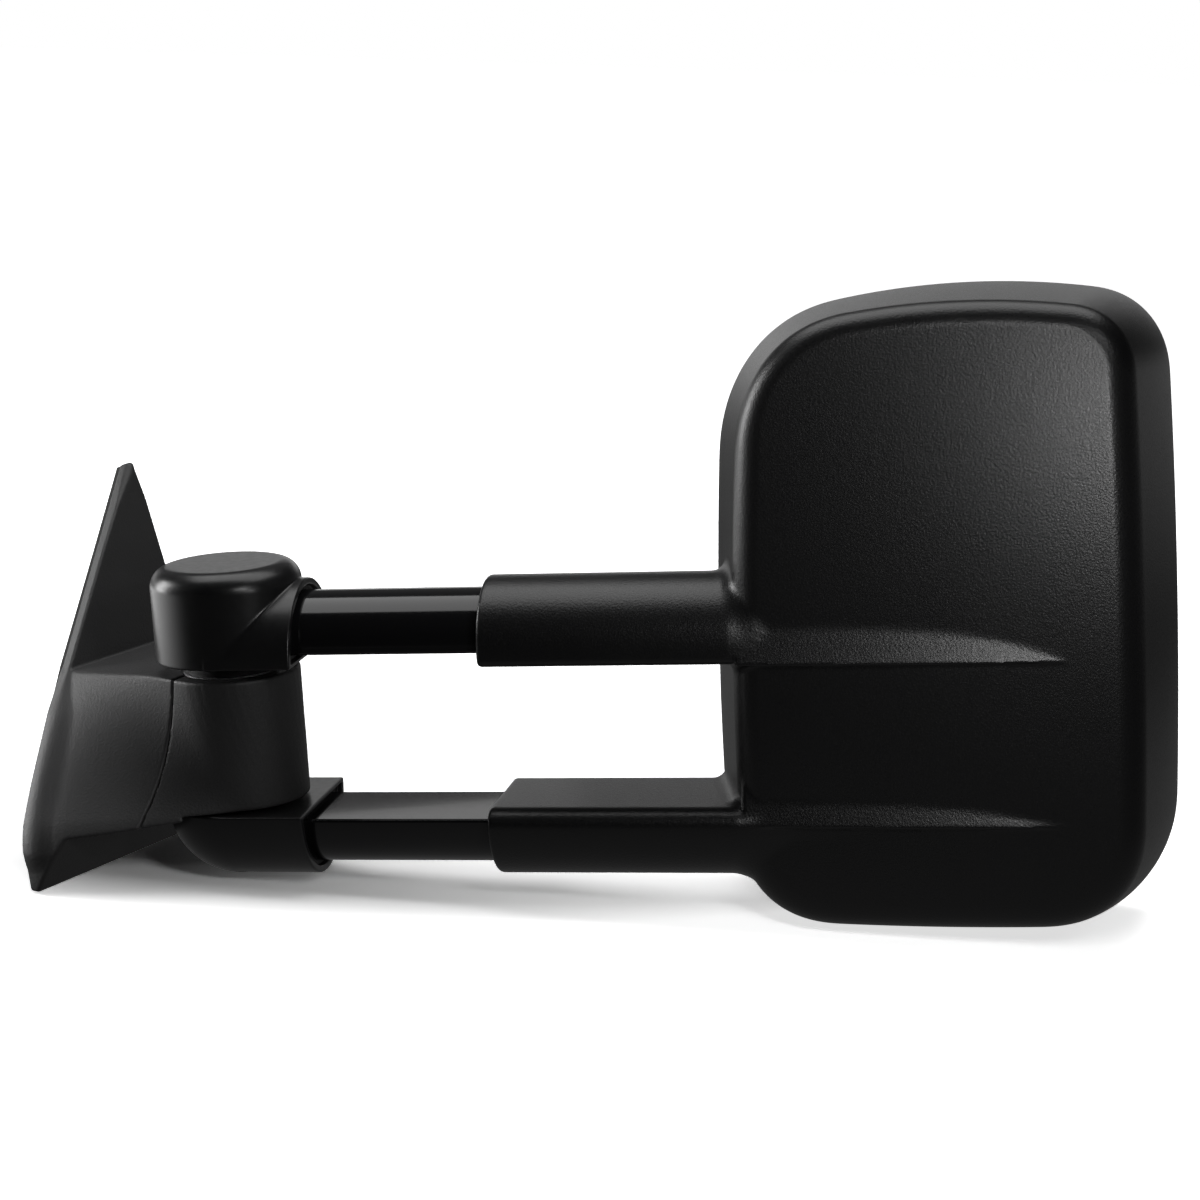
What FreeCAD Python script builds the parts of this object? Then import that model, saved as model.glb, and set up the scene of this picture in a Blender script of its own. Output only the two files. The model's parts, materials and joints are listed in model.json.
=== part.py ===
import FreeCAD, Part
import math
import os

# Towing mirror for a pickup door: door mount, folding arm frame, telescoping head, moving glass.
# Frame, in mm: origin at the middle of the upper door thread, +X outward along the arms, +Y towards
# the glass side (rearward), +Z up.  Everything is drawn about the fold axis, midway between the two
# arms, and moved to that origin when it is saved.  Base pieces are drawn in a door frame (u away
# from the door, v rearward along the door, z up) that is turned about Z into the arm frame.

# ---- driving dimensions -------------------------------------------------------------------------
SWEEP = 20.0               # arms lean rearward from square to the door, degrees
TUMBLE = 16.0              # door glass leans inward going up, degrees
DOOR_U = -85.0             # door plane at z = 0
GASKET_T = 2.0
GASKET_W = 8.5             # width of the gasket's ring
RIM_DEPTH = 8.0            # edge depth of the sail, along the door normal
WALL = 3.0                 # base mouldings
SHELF_Z = 28.0             # top of the pivot boss
BOSS_R = 31.4
BOSS_FLOOR = -33.3
RIM_REAR = 68.0            # rear edge of the door footprint
FOOT_Z = -65.0             # lowest edge of the door footprint
SEAM_U = -13.0             # joint between the sail housing and the pivot housing
LIP_DROP = 4.5             # rolled lower edge in front of the boss
LIP_TAPER = 1.5
CORE_R = 22.8              # casting boss seen through the housing
PLATE_BACK = 0.6           # faces of the casting plate, along the door normal
PLATE_N = 4.6
BUSH_R = 11.0              # pivot bushes
BUSH_L = 24.0
BOLT_R = 8.0
RUN = 0.05                 # running clearance
FIT = 0.1                  # clearance between parts that are clamped or screwed together

INSERT_R = 4.5             # tapped brass inserts for the door screws
THREAD_R = 2.5
PAD_R = 8.0
SKIN_SCREW_R = 1.45
SKIN_PILOT_R = 1.5
SKIN_HEAD_R = 3.4
SKIN_HEAD_H = 1.7
SKIN_SCREW_TIP = 7.0
PILLAR_R = 4.0             # moulded pillars that the screws run into
PILLAR_N = 30.0

SOCKET_END = 38.6
SOCKET_R = 35.2
SOCKET_FLAT = 34.3
SOCKET_C = 34.4            # height of the arc centre of the D section
SOCKET_BORE = 31.0
MOUTH_DEPTH = 2.2          # recess around the tube at the socket's end
MOUTH_LIP = 2.6
CAP_TOP = 78.0
CAP_R = 35.0
CAP_ROUND = 9.5
FLOOR_Z = 44.0             # inside floor of each knuckle
ROOM_R = 14.0              # room for the nut above and the disc springs below
ROOM_TOP = 66.0

TUBE_R = 24.1
TUBE_FLAT = 38.6
TUBE_C = 40.0
TUBE_WALL = 2.0
TUBE_START = 18.0
TUBE_END = 295.0
LINER_T = 1.9
PLUG_FLANGE = 3.0
PLUG_DEPTH = 12.0

ARM_SCREW_X = 28.0
ARM_SCREW_Z = 46.0
ARM_SCREW_R = 2.6
ARM_HEAD_R = 5.0
ARM_HEAD_SEAT = 29.6       # y of the face that the screw head bears on
ARM_HEAD_TOP = 33.0

DISC_R = 21.0              # friction disc and thrust washer
DISC_T = 3.0
STOP_X = -17.5
STOP_R = 2.0
STOP_ARC = (102.0, 238.0)  # ends of the stop groove about the fold axis, degrees
SPRING_R = 13.0            # disc springs under the lower knuckle
SPRING_T = 1.4
SPRING_CONE = 1.1
SPRING_COUNT = 4
BOLT_HEAD_Z = -55.0
BOLT_TIP_Z = 62.0
NUT_Z = (50.0, 61.0)

SLEEVE_R = 30.4
SLEEVE_FLAT = 33.1
SLEEVE_C = 39.1
SLEEVE_CORNER = 4.0
SLEEVE_MOUTH = 124.0
RIB_END = 390.0
BORE_GAP = 1.2             # sleeve bore around the tube
BORE_END = 382.0

HEAD_LEFT = 221.5
HEAD_RIGHT = 431.5
HEAD_TOP = 190.0
HEAD_BOTTOM = -97.0
HEAD_WALL = 2.8
HEAD_REAR = 60.0
PANEL_Y = -28.5            # front panel at the middle of its width
PANEL_TILT = 0.032         # the front panel stands further forward at its outer end
PANEL_MID = 315.0
POST_R = 5.0               # moulded posts that carry the head frame
POST_PILOT_R = 1.6
PLATE_Y = 25.5             # head frame plate
PLATE_T = 3.0
BUSH_X = (266.0, 294.0)    # inner slide bushes
STEM_X = (268.0, 292.0)
PAD_X = 280.0              # spring-loaded pads that hold the head where it is set
PAD_Y = 12.0
PAD_STEM_R = 5.4
PAD_FACE = 31.0

PIVOT_X = 327.0
PIVOT_Z = 47.0
PAN_Y = 34.5
TILT_Y = 41.5
PIN_R = 2.0
SWIVEL_HALF = 11.0
EAR_X = 10.0               # inside of the carrier's ears from the pivot
EAR_T = 4.0
BEZEL_INSET = (5.4, 9.0)
GLASS_INSET = 12.6
GLASS_Y = (50.1, 53.0)
FAR = 300.0                # reaches beyond every part


# ---- helpers -----------------------------------------------------------------------------------
def vec(x, y, z):
    return FreeCAD.Vector(x, y, z)


def fuse(shapes):
    body = shapes[0]
    for extra in shapes[1:]:
        body = body.fuse(extra)
    return body.removeSplitter()


def cut(body, tools):
    for tool in tools:
        body = body.cut(tool)
    return body


def box(x0, x1, y0, y1, z0, z1):
    return Part.makeBox(x1 - x0, y1 - y0, z1 - z0, vec(x0, y0, z0))


def post(radius, z0, z1, x=0.0, y=0.0):
    return Part.makeCylinder(radius, z1 - z0, vec(x, y, z0), vec(0, 0, 1))


def ring(outer, inner, z0, z1, x=0.0, y=0.0):
    return post(outer, z0, z1, x, y).cut(post(inner, z0 - 1, z1 + 1, x, y))


def rod(radius, start, end):
    run = end.sub(start)
    return Part.makeCylinder(radius, run.Length, start, run)


def hexagon(across, z0, z1):
    radius = across / math.sqrt(3.0)
    corners = [vec(radius * math.cos(math.radians(60 * i)), radius * math.sin(math.radians(60 * i)), z0)
               for i in range(7)]
    return Part.Face(Part.makePolygon(corners)).extrude(vec(0, 0, z1 - z0))


def d_bar(x0, x1, radius, flat, centre, side, corner=0.0):
    """Bar along X with a D section: a flat at side*flat and a half round about side*centre."""
    crown = vec(x0, 0, side * (centre + radius))
    reach = radius
    if flat > centre:
        reach = math.sqrt(radius ** 2 - (flat - centre) ** 2)
    low = vec(x0, -reach, side * flat)
    high = vec(x0, reach, side * flat)
    if flat < centre:
        shoulder_a = vec(x0, -radius, side * centre)
        shoulder_b = vec(x0, radius, side * centre)
        edges = [Part.makeLine(low, high), Part.makeLine(high, shoulder_b),
                 Part.Arc(shoulder_b, crown, shoulder_a).toShape(), Part.makeLine(shoulder_a, low)]
    else:
        edges = [Part.makeLine(low, high), Part.Arc(high, crown, low).toShape()]
    bar = Part.Face(Part.Wire(edges)).extrude(vec(x1 - x0, 0, 0))
    if corner > 0:
        sharp = [e for e in bar.Edges if runs_along_x(e) and abs(e.Vertexes[0].Z - side * flat) < 0.01]
        bar = bar.makeFillet(corner, sharp)
    return bar


def runs_along_x(edge):
    ends = edge.Vertexes
    if len(ends) < 2:
        return False
    return abs(ends[0].Y - ends[1].Y) < 0.01 and abs(ends[0].Z - ends[1].Z) < 0.01


def coil(radius, wire, z0, z1, turns):
    """Compression spring about Z with its wire ends inside z0..z1."""
    pitch = (z1 - z0 - 2 * wire) / turns
    path = Part.makeHelix(pitch, pitch * turns, radius)
    path.translate(vec(0, 0, z0 + wire))
    section = Part.Wire([Part.makeCircle(wire, vec(radius, 0, z0 + wire), vec(0, 1, 0))])
    return Part.Wire(path).makePipeShell([section], True, True)


def both_sides(make):
    return [make(side) for side in (1, -1)]


# ---- door frame ----------------------------------------------------------------------------------
SIN_T = math.sin(math.radians(TUMBLE))
COS_T = math.cos(math.radians(TUMBLE))
TAN_T = math.tan(math.radians(TUMBLE))


def to_arm_frame(shape):
    turned = shape.copy()
    turned.rotate(vec(0, 0, 0), vec(0, 0, 1), -SWEEP)
    return turned


def door_u(z):
    return DOOR_U - z * TAN_T


def on_door(v, w, n=0.0):
    """Point v along the door, w up its slope, n out along its normal."""
    return vec(DOOR_U - w * SIN_T + n * COS_T, v, w * COS_T + n * SIN_T)


def door_slab(outline, n0, n1):
    points = [on_door(v, w, n0) for v, w in outline]
    points.append(points[0])
    return Part.Face(Part.makePolygon(points)).extrude(on_door(0, 0, n1 - n0).sub(on_door(0, 0, 0)))


def door_rod(radius, v, w, n0, n1):
    return rod(radius, on_door(v, w, n0), on_door(v, w, n1))


# Door screws and housing screws: (v along the door, w up its slope)
DOOR_BOLTS = [(45.0, 58.0), (-36.0, -30.0), (48.0, -30.0)]
SKIN_SCREWS = [(52.0, 34.0), (22.0, 38.0), (8.0, -52.0)]
CASTING_PLATE = [(-46.0, -57.0), (57.0, -57.0), (57.0, 67.0), (36.0, 67.0), (-36.0, -8.0), (-46.0, -20.0)]
# Screws up through the boss floor: (u, v)
FLOOR_SCREWS = [(-25.0, -9.0), (-25.0, 9.0)]

# Sail outline on the door: (v along the door, z), from the rear bottom corner round to the front
FOOTPRINT = [(RIM_REAR, FOOT_Z), (RIM_REAR + 2.0, 108.5), (66.5, 108.5), (36.0, 77.0), (-14.0, 26.0),
             (-49.0, -13.5), (-69.0, -37.0), (-73.0, -50.0), (-68.0, FOOT_Z)]

# Front curve of the lower body at three heights: (z, edge on the door, two points between, boss angle)
FRONT = [(SHELF_Z, -13.0, (-62.0, -20.5), (-38.0, -27.0), 250.0),
         (0.0, -36.5, (-58.0, -44.0), (-26.0, -44.0), 292.0),
         (BOSS_FLOOR, -66.0, (-47.0, -61.5), (-14.0, -56.0), 322.0)]
BACK_ANGLE = 100.0         # where the boss arc meets the straight rear wall, degrees

# Foot under the lower body: (z, front edge, outer edge), its front running out 4 mm on the slope
FOOT = [(BOSS_FLOOR, -66.0, -42.0), (FOOT_Z, -68.0, -61.0)]
FOOT_RAKE = 4.0

# Room that the lower arm sweeps through under the base
ARM_SWEEP_R = 40.0
ARM_HALF = 37.5
ARM_HEADINGS = (-30.0, 20.0, 90.0)
FOLD_ROOM_U = -38.0


def footprint_face(inset, n):
    points = [on_door(v, z / COS_T, n) for v, z in FOOTPRINT]
    wire = Part.makePolygon(points + [points[0]])
    if inset > 0:
        wire = wire.makeOffset2D(-inset, 2)
    return Part.Face(wire)


def footprint_slab(inset, n0, n1):
    return footprint_face(inset, n0).extrude(on_door(0, 0, n1 - n0).sub(on_door(0, 0, 0)))


def door_air(n):
    """Everything on the door side of the plane at n."""
    return door_slab([(-FAR, -FAR), (FAR, -FAR), (FAR, FAR), (-FAR, FAR)], n - FAR / 4, n)


def plan_section(row, z, inset):
    """Closed plan outline of the lower body at height z: front curve, boss arc, back, door side."""
    _, edge, first, second, angle = row
    radius = BOSS_R - inset

    def on_boss(degrees):
        turn = math.radians(degrees)
        return vec(radius * math.cos(turn), radius * math.sin(turn), z)

    door_side = door_u(z) - inset
    start = vec(door_side, edge + inset, z)
    finish = vec(door_side, RIM_REAR - inset, z)
    front = Part.BSplineCurve()
    front.interpolate([start, vec(first[0], first[1] + inset, z), vec(second[0], second[1] + inset, z),
                       on_boss(angle)])
    middle = on_boss(0.5 * (angle - 360.0 + BACK_ANGLE))
    arc = Part.Arc(on_boss(angle), middle, on_boss(BACK_ANGLE))
    edges = [front.toShape(), arc.toShape(), Part.makeLine(on_boss(BACK_ANGLE), finish),
             Part.makeLine(finish, start)]
    return Part.Wire(edges)


def lower_block(inset):
    heights = [SHELF_Z - inset, 0.0, BOSS_FLOOR + inset]
    return Part.makeLoft([plan_section(row, z, inset) for row, z in zip(FRONT, heights)], True, False)


def foot_block(inset):
    """Tapered foot under the lower body, running down to the bottom edge on the door."""
    def row(z, front, out):
        inner = door_u(z) - inset
        rear = RIM_REAR - inset
        corners = [vec(inner, front + inset, z), vec(out - inset, front + FOOT_RAKE + inset, z),
                   vec(out - inset, rear, z), vec(inner, rear, z)]
        return Part.makePolygon(corners + [corners[0]])
    rows = [row(z + inset, front, out) for z, front, out in FOOT]
    return Part.makeLoft(rows, True, True)


def front_lip():
    """Rolled lower edge in front of the boss, kept outside the sweep of the lower arm."""
    upper = plan_section(FRONT[2], BOSS_FLOOR, 0.0)
    lower = plan_section(FRONT[2], BOSS_FLOOR - LIP_DROP, LIP_TAPER)
    lip = Part.makeLoft([upper, lower], True, True)
    sweep = [post(ARM_SWEEP_R, -FAR, BOSS_FLOOR), box(FOLD_ROOM_U, FAR, 0, FAR, -FAR, BOSS_FLOOR)]
    for heading in ARM_HEADINGS:
        arm = box(0, FAR, -ARM_HALF, ARM_HALF, -FAR, BOSS_FLOOR)
        arm.rotate(vec(0, 0, 0), vec(0, 0, 1), heading)
        sweep.append(arm)
    return cut(lip, sweep)


def base_skin():
    """Both base mouldings as one hollow body, with a moulded pillar at each housing screw."""
    sail = footprint_slab(0.0, 0.0, RIM_DEPTH)
    outside = fuse([sail, lower_block(0.0), foot_block(0.0), front_lip()])
    room = [footprint_slab(WALL, -1.0, RIM_DEPTH - WALL), lower_block(WALL), foot_block(WALL)]
    shell = cut(outside, room + [post(CORE_R + 3 * FIT, -FAR, FAR)])
    pillars = [door_rod(PILLAR_R, v, w, PLATE_N + FIT, PILLAR_N).common(outside) for v, w in SKIN_SCREWS]
    return cut(fuse([shell] + pillars), [door_air(0.0)])


def seam_side(inner):
    """Half space on one side of the seam between the two base mouldings."""
    low, high = (SEAM_U - FAR, SEAM_U) if inner else (SEAM_U, SEAM_U + FAR)
    return box(low, high, -FAR, FAR, -FAR, FAR)


def sail_housing(skin):
    return skin.common(seam_side(True))


def pivot_housing(skin):
    return skin.common(seam_side(False))


# ---- base internals ------------------------------------------------------------------------------
def mount_casting():
    plate = door_slab(CASTING_PLATE, PLATE_BACK, PLATE_N)
    web = box(DOOR_U - 6, -10, -13, 13, -11, 11)
    rib = box(DOOR_U - 6, -10, -3, 3, -27, 22)
    arm = cut(fuse([web, rib]), [door_air(PLATE_BACK)])
    core = post(CORE_R, BOSS_FLOOR + FIT, SHELF_Z)
    pads = [door_rod(PAD_R, v, w, -GASKET_T, PLATE_N) for v, w in DOOR_BOLTS]
    legs = [post(PILLAR_R, BOSS_FLOOR + WALL + FIT, 0, u, v) for u, v in FLOOR_SCREWS]
    body = fuse([plate, arm, core] + pads + legs)
    insert_holes = [door_rod(INSERT_R, v, w, -10, 10) for v, w in DOOR_BOLTS]
    skin_holes = [door_rod(SKIN_SCREW_R + 3 * FIT, v, w, -5, 20) for v, w in SKIN_SCREWS]
    floor_holes = [post(SKIN_PILOT_R, -60, -14, u, v) for u, v in FLOOR_SCREWS]
    body = cut(body, insert_holes + skin_holes + floor_holes + [post(BUSH_R, -FAR, FAR)])
    return to_arm_frame(body).cut(post(STOP_R, 12, 60, STOP_X))


def door_inserts():
    inserts = []
    for v, w in DOOR_BOLTS:
        sleeve = door_rod(INSERT_R, v, w, -GASKET_T, PLATE_N).cut(door_rod(THREAD_R, v, w, -10, 10))
        inserts.append(to_arm_frame(sleeve))
    return inserts


def door_gasket():
    sheet = footprint_slab(5 * FIT, -GASKET_T, 0.0)
    middle = footprint_slab(5 * FIT + GASKET_W, -10, 10)
    holes = [door_rod(PAD_R + 3 * FIT, v, w, -10, 10) for v, w in DOOR_BOLTS]
    return to_arm_frame(cut(sheet, [middle] + holes))


def skin_screws():
    screws = []
    head_face = PLATE_BACK - RUN
    for v, w in SKIN_SCREWS:
        head = door_rod(SKIN_HEAD_R, v, w, head_face - SKIN_HEAD_H, head_face)
        screws.append(to_arm_frame(head.fuse(door_rod(SKIN_SCREW_R, v, w, 0.0, SKIN_SCREW_TIP))))
    for u, v in FLOOR_SCREWS:
        head = post(SKIN_HEAD_R - 3 * FIT, BOSS_FLOOR + FIT, BOSS_FLOOR + SKIN_HEAD_H - FIT, u, v)
        shank = post(SKIN_SCREW_R, BOSS_FLOOR + 1, -16, u, v)
        screws.append(to_arm_frame(head.fuse(shank)))
    return screws


def drill_skin(skin):
    for v, w in SKIN_SCREWS:
        skin = skin.cut(door_rod(SKIN_PILOT_R, v, w, 0.0, SKIN_SCREW_TIP + 2 * FIT))
    for u, v in FLOOR_SCREWS:
        skin = cut(skin, [post(SKIN_HEAD_R, -FAR, BOSS_FLOOR + SKIN_HEAD_H, u, v),
                          post(SKIN_SCREW_R + 2 * FIT, -FAR, -20, u, v)])
    return skin


def pivot_bushes():
    inner = BOLT_R + RUN
    upper = ring(BUSH_R, inner, SHELF_Z - BUSH_L, SHELF_Z)
    lower = ring(BUSH_R, inner, BOSS_FLOOR + FIT, BOSS_FLOOR + FIT + BUSH_L)
    return [upper, lower]


def friction_disc():
    disc = ring(DISC_R, BOLT_R + 5 * FIT, SHELF_Z, SHELF_Z + DISC_T)
    return disc.cut(post(STOP_R, 12, 60, STOP_X))


def stop_pin():
    return post(STOP_R, SHELF_Z / 2, SOCKET_FLAT + 3.5, STOP_X)


def stop_slot(z0, z1):
    """Arc groove that the stop pin runs in as the arms fold."""
    groove = ring(-STOP_X + STOP_R + 7 * FIT, -STOP_X - STOP_R - 7 * FIT, z0, z1)
    wedge = [vec(0, 0, z0)]
    steps = 4
    for i in range(steps + 1):
        turn = math.radians(STOP_ARC[0] + (STOP_ARC[1] - STOP_ARC[0]) * i / steps)
        wedge.append(vec(DISC_R * 3 * math.cos(turn), DISC_R * 3 * math.sin(turn), z0))
    wedge.append(wedge[0])
    return groove.common(Part.Face(Part.makePolygon(wedge)).extrude(vec(0, 0, z1 - z0)))


# ---- folding arm frame ---------------------------------------------------------------------------
def thrust_washer():
    disc = ring(DISC_R, BOLT_R + 5 * FIT, SHELF_Z + DISC_T + RUN, SOCKET_FLAT - RUN)
    return disc.cut(stop_slot(SHELF_Z, FLOOR_Z))


def lower_washer():
    return ring(DISC_R - 1, BOLT_R + 5 * FIT, -SOCKET_FLAT + 0.02, BOSS_FLOOR + RUN)


def arm_screw_rod(radius, y0, y1, side):
    return rod(radius, vec(ARM_SCREW_X, y0, side * ARM_SCREW_Z), vec(ARM_SCREW_X, y1, side * ARM_SCREW_Z))


def socket_cuts(side):
    mouth = d_bar(SOCKET_END - MOUTH_DEPTH, FAR, SOCKET_BORE, TUBE_FLAT - MOUTH_LIP, TUBE_C, side)
    crown_wall = side * (TUBE_C + TUBE_R + MOUTH_LIP)
    flat_side = side * (TUBE_FLAT - 3 * MOUTH_LIP)
    mouth = mouth.common(box(0, FAR, -FAR, FAR, *sorted((flat_side, crown_wall))))
    seat = d_bar(TUBE_START, FAR, TUBE_R + LINER_T + FIT, TUBE_FLAT - LINER_T - FIT, TUBE_C, side)
    screw = arm_screw_rod(ARM_SCREW_R + 6 * FIT, FAR, 10, side)
    head = arm_screw_rod(ARM_HEAD_R + 2 * FIT, FAR, ARM_HEAD_SEAT - FIT, side)
    return [mouth, seat, screw, head]


def upper_knuckle():
    cap = post(CAP_R, SOCKET_FLAT, CAP_TOP)
    rim = [e for e in cap.Edges if len(e.Vertexes) == 1 and abs(e.Vertexes[0].Z - CAP_TOP) < 0.01]
    cap = cap.makeFillet(CAP_ROUND, rim)
    socket = d_bar(0, SOCKET_END, SOCKET_R, SOCKET_FLAT, SOCKET_C, 1)
    body = cap.fuse(socket).removeSplitter()
    room = post(ROOM_R, FLOOR_Z, ROOM_TOP)
    floor_bore = post(BOLT_R + FIT, 0, FLOOR_Z + 1)
    return cut(body, socket_cuts(1) + [room, floor_bore, stop_slot(SHELF_Z, SOCKET_FLAT + 4.0)])


def lower_knuckle():
    bowl = Part.makeSphere(SOCKET_R, vec(0, 0, -SOCKET_C)).cut(box(-FAR, FAR, -FAR, FAR, -SOCKET_FLAT, FAR))
    socket = d_bar(0, SOCKET_END, SOCKET_R, SOCKET_FLAT, SOCKET_C, -1)
    body = bowl.fuse(socket).removeSplitter()
    room = post(ROOM_R, -FAR, -FLOOR_Z)
    floor_bore = post(BOLT_R + FIT, -FLOOR_Z - 1, 0)
    return cut(body, socket_cuts(-1) + [room, floor_bore])


def arm_tube(side):
    outer = d_bar(TUBE_START + FIT, TUBE_END, TUBE_R, TUBE_FLAT, TUBE_C, side, 1.2)
    inner = d_bar(0, TUBE_END + 5, TUBE_R - TUBE_WALL, TUBE_FLAT + TUBE_WALL, TUBE_C, side)
    return cut(outer, [inner, arm_screw_rod(ARM_SCREW_R + 2 * FIT, FAR, 10, side)])


def socket_liner(side):
    outer = d_bar(TUBE_START + FIT, SOCKET_END - MOUTH_DEPTH - FIT, TUBE_R + LINER_T, TUBE_FLAT - LINER_T,
                  TUBE_C, side)
    inner = d_bar(0, FAR, TUBE_R + FIT, TUBE_FLAT - FIT, TUBE_C, side)
    return cut(outer, [inner, arm_screw_rod(ARM_SCREW_R + 6 * FIT, FAR, 10, side)])


def arm_screw(side):
    head = arm_screw_rod(ARM_HEAD_R, ARM_HEAD_TOP, ARM_HEAD_SEAT, side)
    shank = arm_screw_rod(ARM_SCREW_R, ARM_HEAD_SEAT + 1, 16.0, side)
    socket = arm_screw_rod(2.0, ARM_HEAD_TOP + 1, ARM_HEAD_TOP - 2, side)
    return head.fuse(shank).cut(socket)


def tube_plug(side):
    """Closed end whose flange stops the head from sliding off."""
    flange = d_bar(TUBE_END, TUBE_END + PLUG_FLANGE, TUBE_R + 8 * FIT, TUBE_FLAT - 8 * FIT, TUBE_C, side)
    spigot = d_bar(TUBE_END - PLUG_DEPTH, TUBE_END, TUBE_R - TUBE_WALL - FIT, TUBE_FLAT + TUBE_WALL + FIT,
                   TUBE_C, side)
    return flange.fuse(spigot)


def pivot_bolt():
    head = hexagon(21.0, BOLT_HEAD_Z - 7.0, BOLT_HEAD_Z)
    return head.fuse(post(BOLT_R, BOLT_HEAD_Z - 1, BOLT_TIP_Z))


def lock_nut():
    return hexagon(24.0, *NUT_Z).cut(post(BOLT_R + 0.02, 0, FAR))


def nut_washer():
    return ring(SPRING_R + 0.5, BOLT_R + 2 * FIT, FLOOR_Z + FIT, NUT_Z[0] - FIT)


def disc_springs():
    """Coned washers stacked in opposed pairs; they load the friction disc."""
    inner = BOLT_R + 2 * FIT
    room = -FLOOR_Z - BOLT_HEAD_Z - 2 * FIT
    pitch = room / SPRING_COUNT
    springs = []
    for i in range(SPRING_COUNT):
        low = BOLT_HEAD_Z + FIT + i * pitch + 0.5 * (pitch - SPRING_T - SPRING_CONE)
        inside, outside = (low, low + SPRING_CONE) if i % 2 else (low + SPRING_CONE, low)
        corners = [vec(inner, 0, inside), vec(SPRING_R, 0, outside), vec(SPRING_R, 0, outside + SPRING_T),
                   vec(inner, 0, inside + SPRING_T)]
        section = Part.Face(Part.makePolygon(corners + [corners[0]]))
        springs.append(section.revolve(vec(0, 0, 0), vec(0, 0, 1), 360))
    return springs


def access_plug():
    disc = post(ROOM_R - FIT, -67.5, -64.0)
    return disc.common(Part.makeSphere(SOCKET_R, vec(0, 0, -SOCKET_C)))


# ---- head ----------------------------------------------------------------------------------------
# Head sections from the front panel to the rear rim: (y, inset at left, right, top, bottom)
FLARE = [(PANEL_Y, 27.0, 26.0, 10.0, 22.0), (-26.5, 22.5, 20.0, 6.0, 14.5), (-20.0, 18.0, 15.0, 3.4, 9.0),
         (-6.0, 13.0, 10.5, 2.0, 4.5), (15.0, 7.5, 5.5, 0.8, 1.5), (45.0, 0.0, 0.0, 0.0, 0.0),
         (HEAD_REAR, 2.6, 2.6, 2.6, 2.6)]
TILT_ENDS = 15.0           # behind this y the sections stand square
CORNERS = (44.0, 27.0, 44.0, 42.0)    # corner radii: upper left, upper right, lower right, lower left
# Side arcs of the outline: (centre of the bow along the side, bow radius), left, top, right, bottom
BOWS = ((-20.0, 1900.0), (345.0, 340.0), (45.0, 3000.0), (335.0, 1500.0))
# Screw posts between the front panel and the head frame: (x, z)
SHELL_POSTS = [(284.0, 104.0), (392.0, 104.0), (310.0, -5.0), (392.0, -5.0)]


def corner_centre(first, second, inside):
    """Meeting point nearest to inside of two circles (x, z, radius)."""
    x0, z0, r0 = first
    x1, z1, r1 = second
    gap = math.hypot(x1 - x0, z1 - z0)
    along = (r0 * r0 - r1 * r1 + gap * gap) / (2 * gap)
    across = math.sqrt(r0 * r0 - along * along)
    ux = (x1 - x0) / gap
    uz = (z1 - z0) / gap
    choices = [(x0 + along * ux - k * across * uz, z0 + along * uz + k * across * ux) for k in (1, -1)]
    return min(choices, key=lambda p: math.hypot(p[0] - inside[0], p[1] - inside[1]))


def touch(side, centre):
    """Where a corner arc about centre meets the side circle."""
    k = side[2] / math.hypot(centre[0] - side[0], centre[1] - side[1])
    return (side[0] + k * (centre[0] - side[0]), side[1] + k * (centre[1] - side[1]))


def arc_mid(circle, a, b):
    mx = 0.5 * (a[0] + b[0]) - circle[0]
    mz = 0.5 * (a[1] + b[1]) - circle[1]
    k = circle[2] / math.hypot(mx, mz)
    return (circle[0] + k * mx, circle[1] + k * mz)


def head_outline(y, left, right, top, bottom, shrink, tilt):
    """Rounded four-sided outline: each side is a shallow arc and each corner a tangent arc."""
    xl = HEAD_LEFT + left + shrink
    xr = HEAD_RIGHT - right - shrink
    zt = HEAD_TOP - top - shrink
    zb = HEAD_BOTTOM + bottom + shrink
    (left_z, left_r), (top_x, top_r), (right_z, right_r), (bottom_x, bottom_r) = BOWS
    sides = [(xl + left_r, left_z, left_r), (top_x, zt - top_r, top_r),
             (xr - right_r, right_z, right_r), (bottom_x, zb + bottom_r, bottom_r)]
    ease = 0.1 * (left + right + top + bottom) + shrink
    radii = [max(6.0, r - ease) for r in CORNERS]
    hints = [(xl, zt), (xr, zt), (xr, zb), (xl, zb)]
    centres = []
    for i in range(4):
        first = sides[i]
        second = sides[(i + 1) % 4]
        centres.append(corner_centre((first[0], first[1], first[2] - radii[i]),
                                     (second[0], second[1], second[2] - radii[i]), hints[i]))

    def at(p):
        return vec(p[0], y - tilt * (p[0] - PANEL_MID), p[1])

    edges = []
    for i in range(4):
        side = sides[i]
        before = touch(side, centres[i - 1])
        after = touch(side, centres[i])
        following = touch(sides[(i + 1) % 4], centres[i])
        corner = (centres[i][0], centres[i][1], radii[i])
        edges.append(Part.Arc(at(before), at(arc_mid(side, before, after)), at(after)).toShape())
        edges.append(Part.Arc(at(after), at(arc_mid(corner, after, following)), at(following)).toShape())
    return Part.Wire(edges)


def head_block(shrink, front_shift, rear_shift):
    wires = []
    for y, left, right, top, bottom in FLARE:
        level = y + front_shift * (HEAD_REAR - y) / (HEAD_REAR - PANEL_Y)
        if y == HEAD_REAR:
            level = y + rear_shift
        tilt = PANEL_TILT * max(0.0, (TILT_ENDS - y) / (TILT_ENDS - PANEL_Y))
        wires.append(head_outline(level, left, right, top, bottom, shrink, tilt))
    return Part.makeLoft(wires, True, False)


def straight_outline(inset, y0, y1):
    wire = head_outline(y0, inset, inset, inset, inset, 0.0, 0.0)
    return Part.Face(wire).extrude(vec(0, y1 - y0, 0))


def tube_bore(side, x0=0.0, x1=FAR * 2):
    return d_bar(x0, x1, TUBE_R + BORE_GAP, TUBE_FLAT - BORE_GAP, TUBE_C, side)


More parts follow.
